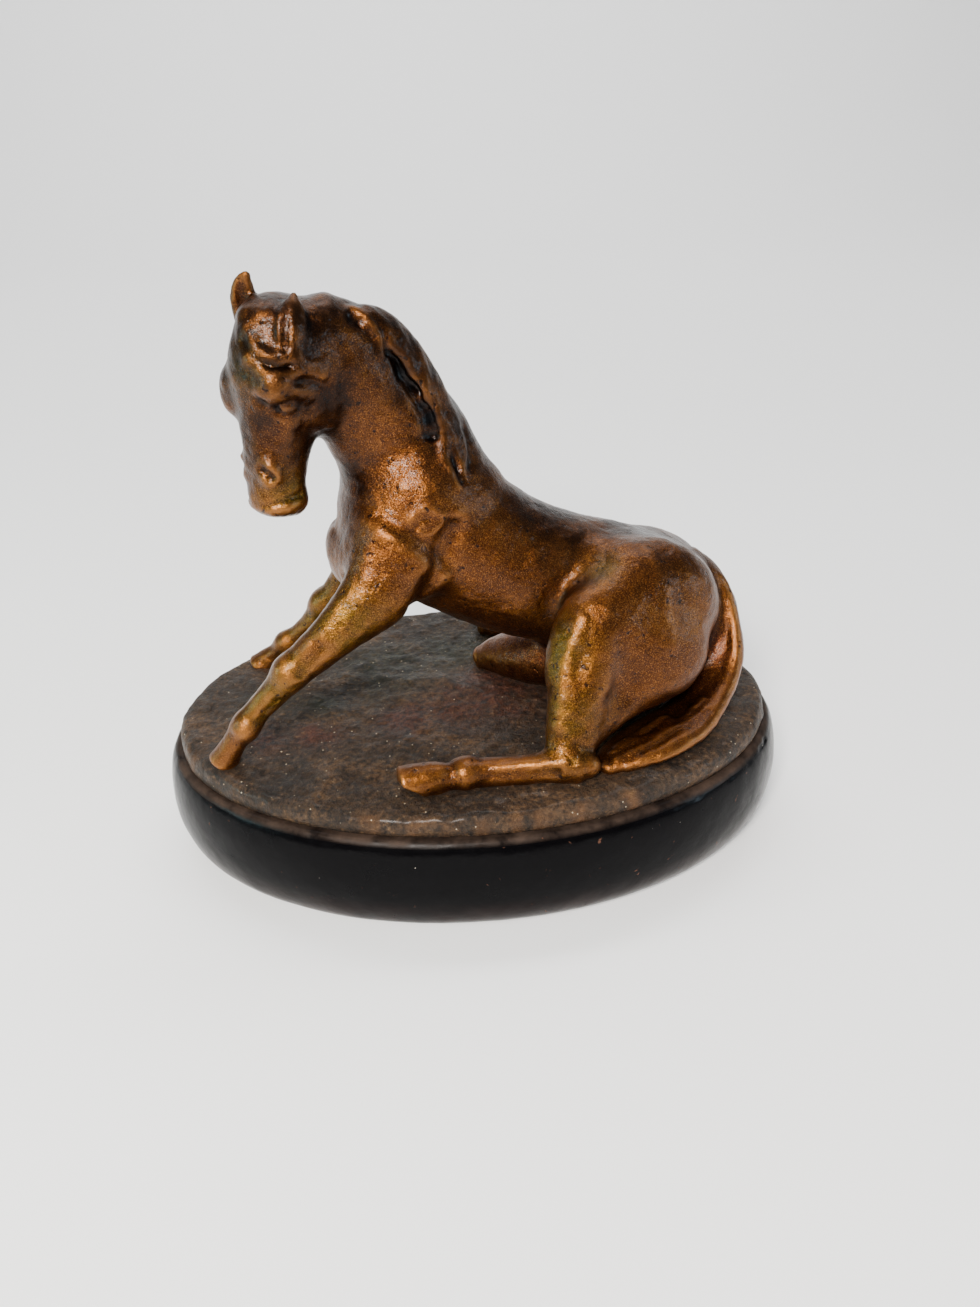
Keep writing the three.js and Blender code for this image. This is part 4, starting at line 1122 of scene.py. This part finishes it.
def lacquer_material():
    """Black gloss lacquer with brown wear towards the foot, a scuffed ledge whose lighter brown is partly
    wear and partly a painted highlight, dust and nicks.
    """
    n = Nodes("black_lacquer")
    height = n.height_axis()
    foot = n.math("MULTIPLY", n.math("SUBTRACT", 0.018, height), 60, clamp=True)
    worn = n.math("MULTIPLY", foot, n.ramp(n.noise(60, 5, 0.6), [(0.35, 0.2), (0.65, 1.0)]))
    tone = n.mix(worn, (0.0012, 0.0011, 0.0014), (0.016, 0.006, 0.0045))
    # The top ledge is lighter brown and duller: partly scuffing, partly a painted highlight along the ledge.
    ledge_height = n.math("SUBTRACT", height, PLINTH_HIGH[2] - 0.0022)
    ledge = n.math("MULTIPLY", n.math("MULTIPLY", ledge_height, 700, clamp=True),
                   n.ramp(n.noise(95, 6, 0.65), [(0.35, 0.15), (0.65, 1.0)]))
    tone = n.mix(ledge, tone, (0.040, 0.026, 0.019))
    nicks = n.ramp(n.noise(230, 3, 0.6, 0.6), [(0.70, 0.0), (0.74, 1.0)])
    tone = n.mix(n.math("MULTIPLY", nicks, 0.7), tone, (0.10, 0.045, 0.028))
    dust = n.math("MULTIPLY", n.ramp(n.flakes(260, "Distance"), [(0.03, 1.0), (0.06, 0.0)]),
                  n.ramp(n.channels(n.flakes(260))[1], [(0.9, 0.0), (0.94, 1.0)]))
    tone = n.mix(dust, tone, (0.4, 0.36, 0.30))
    n.link(tone, n.shader.inputs["Base Color"])
    rough = n.ramp(n.noise(75, 5, 0.6), [(0.3, 0.14), (0.7, 0.3)])
    n.link(n.mix(ledge, rough, (0.6, 0.6, 0.6)), n.shader.inputs["Roughness"])
    n.shader.inputs["Specular IOR Level"].default_value = 0.1
    n.shader.inputs["IOR"].default_value = 1.35
    swell = n.bump(n.noise(45, 3, 0.5), 0.4, 0.0014)
    n.link(n.bump(n.noise(400, 4, 0.6), 0.18, 0.0004, swell), n.shader.inputs["Normal"])
    return n.material


def baize_material():
    """Green wool baize: short matted fibres."""
    n = Nodes("green_baize")
    fibres = n.noise(1500, 6, 0.8, 2.0)
    n.link(n.mix(fibres, (0.012, 0.035, 0.018), (0.035, 0.085, 0.045)), n.shader.inputs["Base Color"])
    n.shader.inputs["Roughness"].default_value = 0.95
    n.shader.inputs["Sheen Weight"].default_value = 0.4
    n.link(n.bump(fibres, 0.7, 0.0006), n.shader.inputs["Normal"])
    return n.material


def turned_metal(name, dark, bright, roughness):
    """Plain turned metal with fine tool marks and stains, for the fixings."""
    n = Nodes(name)
    stains = n.noise(180, 5, 0.6)
    n.link(n.mix(stains, dark, bright), n.shader.inputs["Base Color"])
    n.shader.inputs["Metallic"].default_value = 1.0
    n.link(n.ramp(n.noise(900, 3, 0.6), [(0.3, roughness - 0.1), (0.7, roughness + 0.12)]),
           n.shader.inputs["Roughness"])
    n.link(n.bump(n.noise(1200, 3, 0.6), 0.25, 0.0002), n.shader.inputs["Normal"])
    return n.material


def dress_frame_nodes(baize, steel, pin_bronze):
    """Gives the CAD nodes that stay their finishes."""
    for name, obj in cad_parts.items():
        if name == "baize_pad":
            finish = baize
        elif name.startswith(("stud", "screw")):
            finish = steel
        elif name.startswith("pin_"):
            finish = pin_bronze
        else:
            continue
        for slot in obj.material_slots:
            slot.material = finish


# ---- Stage ----------------------------------------------------------------

def add_floor():
    """A pale sheet that lies under the statuette and curves up behind it."""
    bend = np.linspace(0, np.pi / 2, 24)
    reach, radius, tall = 1.5, 0.9, 3.0
    profile = np.vstack([[(-3, 0)], np.c_[reach + radius * np.sin(bend), radius * (1 - np.cos(bend))],
                         [(reach + radius, tall)]])
    points = np.vstack([np.c_[np.full(len(profile), x), profile] for x in (-4, 4)])
    rows = len(profile)
    i = np.arange(rows - 1)
    faces = np.stack([i, i + rows, i + rows + 1, i + 1], -1)
    n = Nodes("pale_floor")
    n.link(n.mix(n.noise(3, 2), (0.93, 0.93, 0.93), (0.95, 0.95, 0.95)), n.shader.inputs["Base Color"])
    n.shader.inputs["Roughness"].default_value = 0.9
    make_object("floor", points, faces, n.material)


def add_light(name, place, aim, size, power, colour=(1, 1, 1)):
    data = bpy.data.lights.new(name, "AREA")
    data.shape = "RECTANGLE"
    data.size, data.size_y = size
    data.energy = power
    data.color = colour
    light = bpy.data.objects.new(name, data)
    bpy.context.collection.objects.link(light)
    light.matrix_world = Matrix.Translation(place) @ (Vector(aim) - Vector(place)).to_track_quat("-Z",
        "Y").to_matrix().to_4x4()


def add_lights():
    """Soft studio light: a window in front and above, weak cool fills and a broad top light."""
    world = bpy.data.worlds.new("studio")
    world.use_nodes = True
    world.node_tree.nodes["Background"].inputs["Color"].default_value = (1, 1, 1, 1)
    world.node_tree.nodes["Background"].inputs["Strength"].default_value = 0.22
    bpy.context.scene.world = world
    middle = (0, 0, 0.1)
    add_light("window", (-0.32, -0.85, 0.8), middle, (0.3, 0.25), 32, (1, 0.94, 0.88))
    add_light("left_fill", (-1.1, -0.3, 0.35), middle, (0.5, 0.2), 5, (0.55, 0.95, 1))
    add_light("right_fill", (1.1, -0.4, 0.35), middle, (0.5, 0.2), 5, (0.65, 0.85, 1))
    add_light("backdrop", (0, 0.9, 2.2), (0, 2.0, 0.2), (2.5, 0.8), 70)


bronze = bronze_material()
earth = ground_material()
add_horse(bronze)
add_ground(earth)
add_plinth(lacquer_material())
for plug in ("screw_plug_front", "screw_plug_rear"):
    add_plug(plug, earth)
dress_frame_nodes(baize_material(), turned_metal("dull_steel", (0.18, 0.17, 0.16), (0.42, 0.41, 0.4), 0.4),
                  turned_metal("pin_bronze", (0.22, 0.11, 0.04), (0.45, 0.25, 0.1), 0.4))
add_floor()
add_lights()
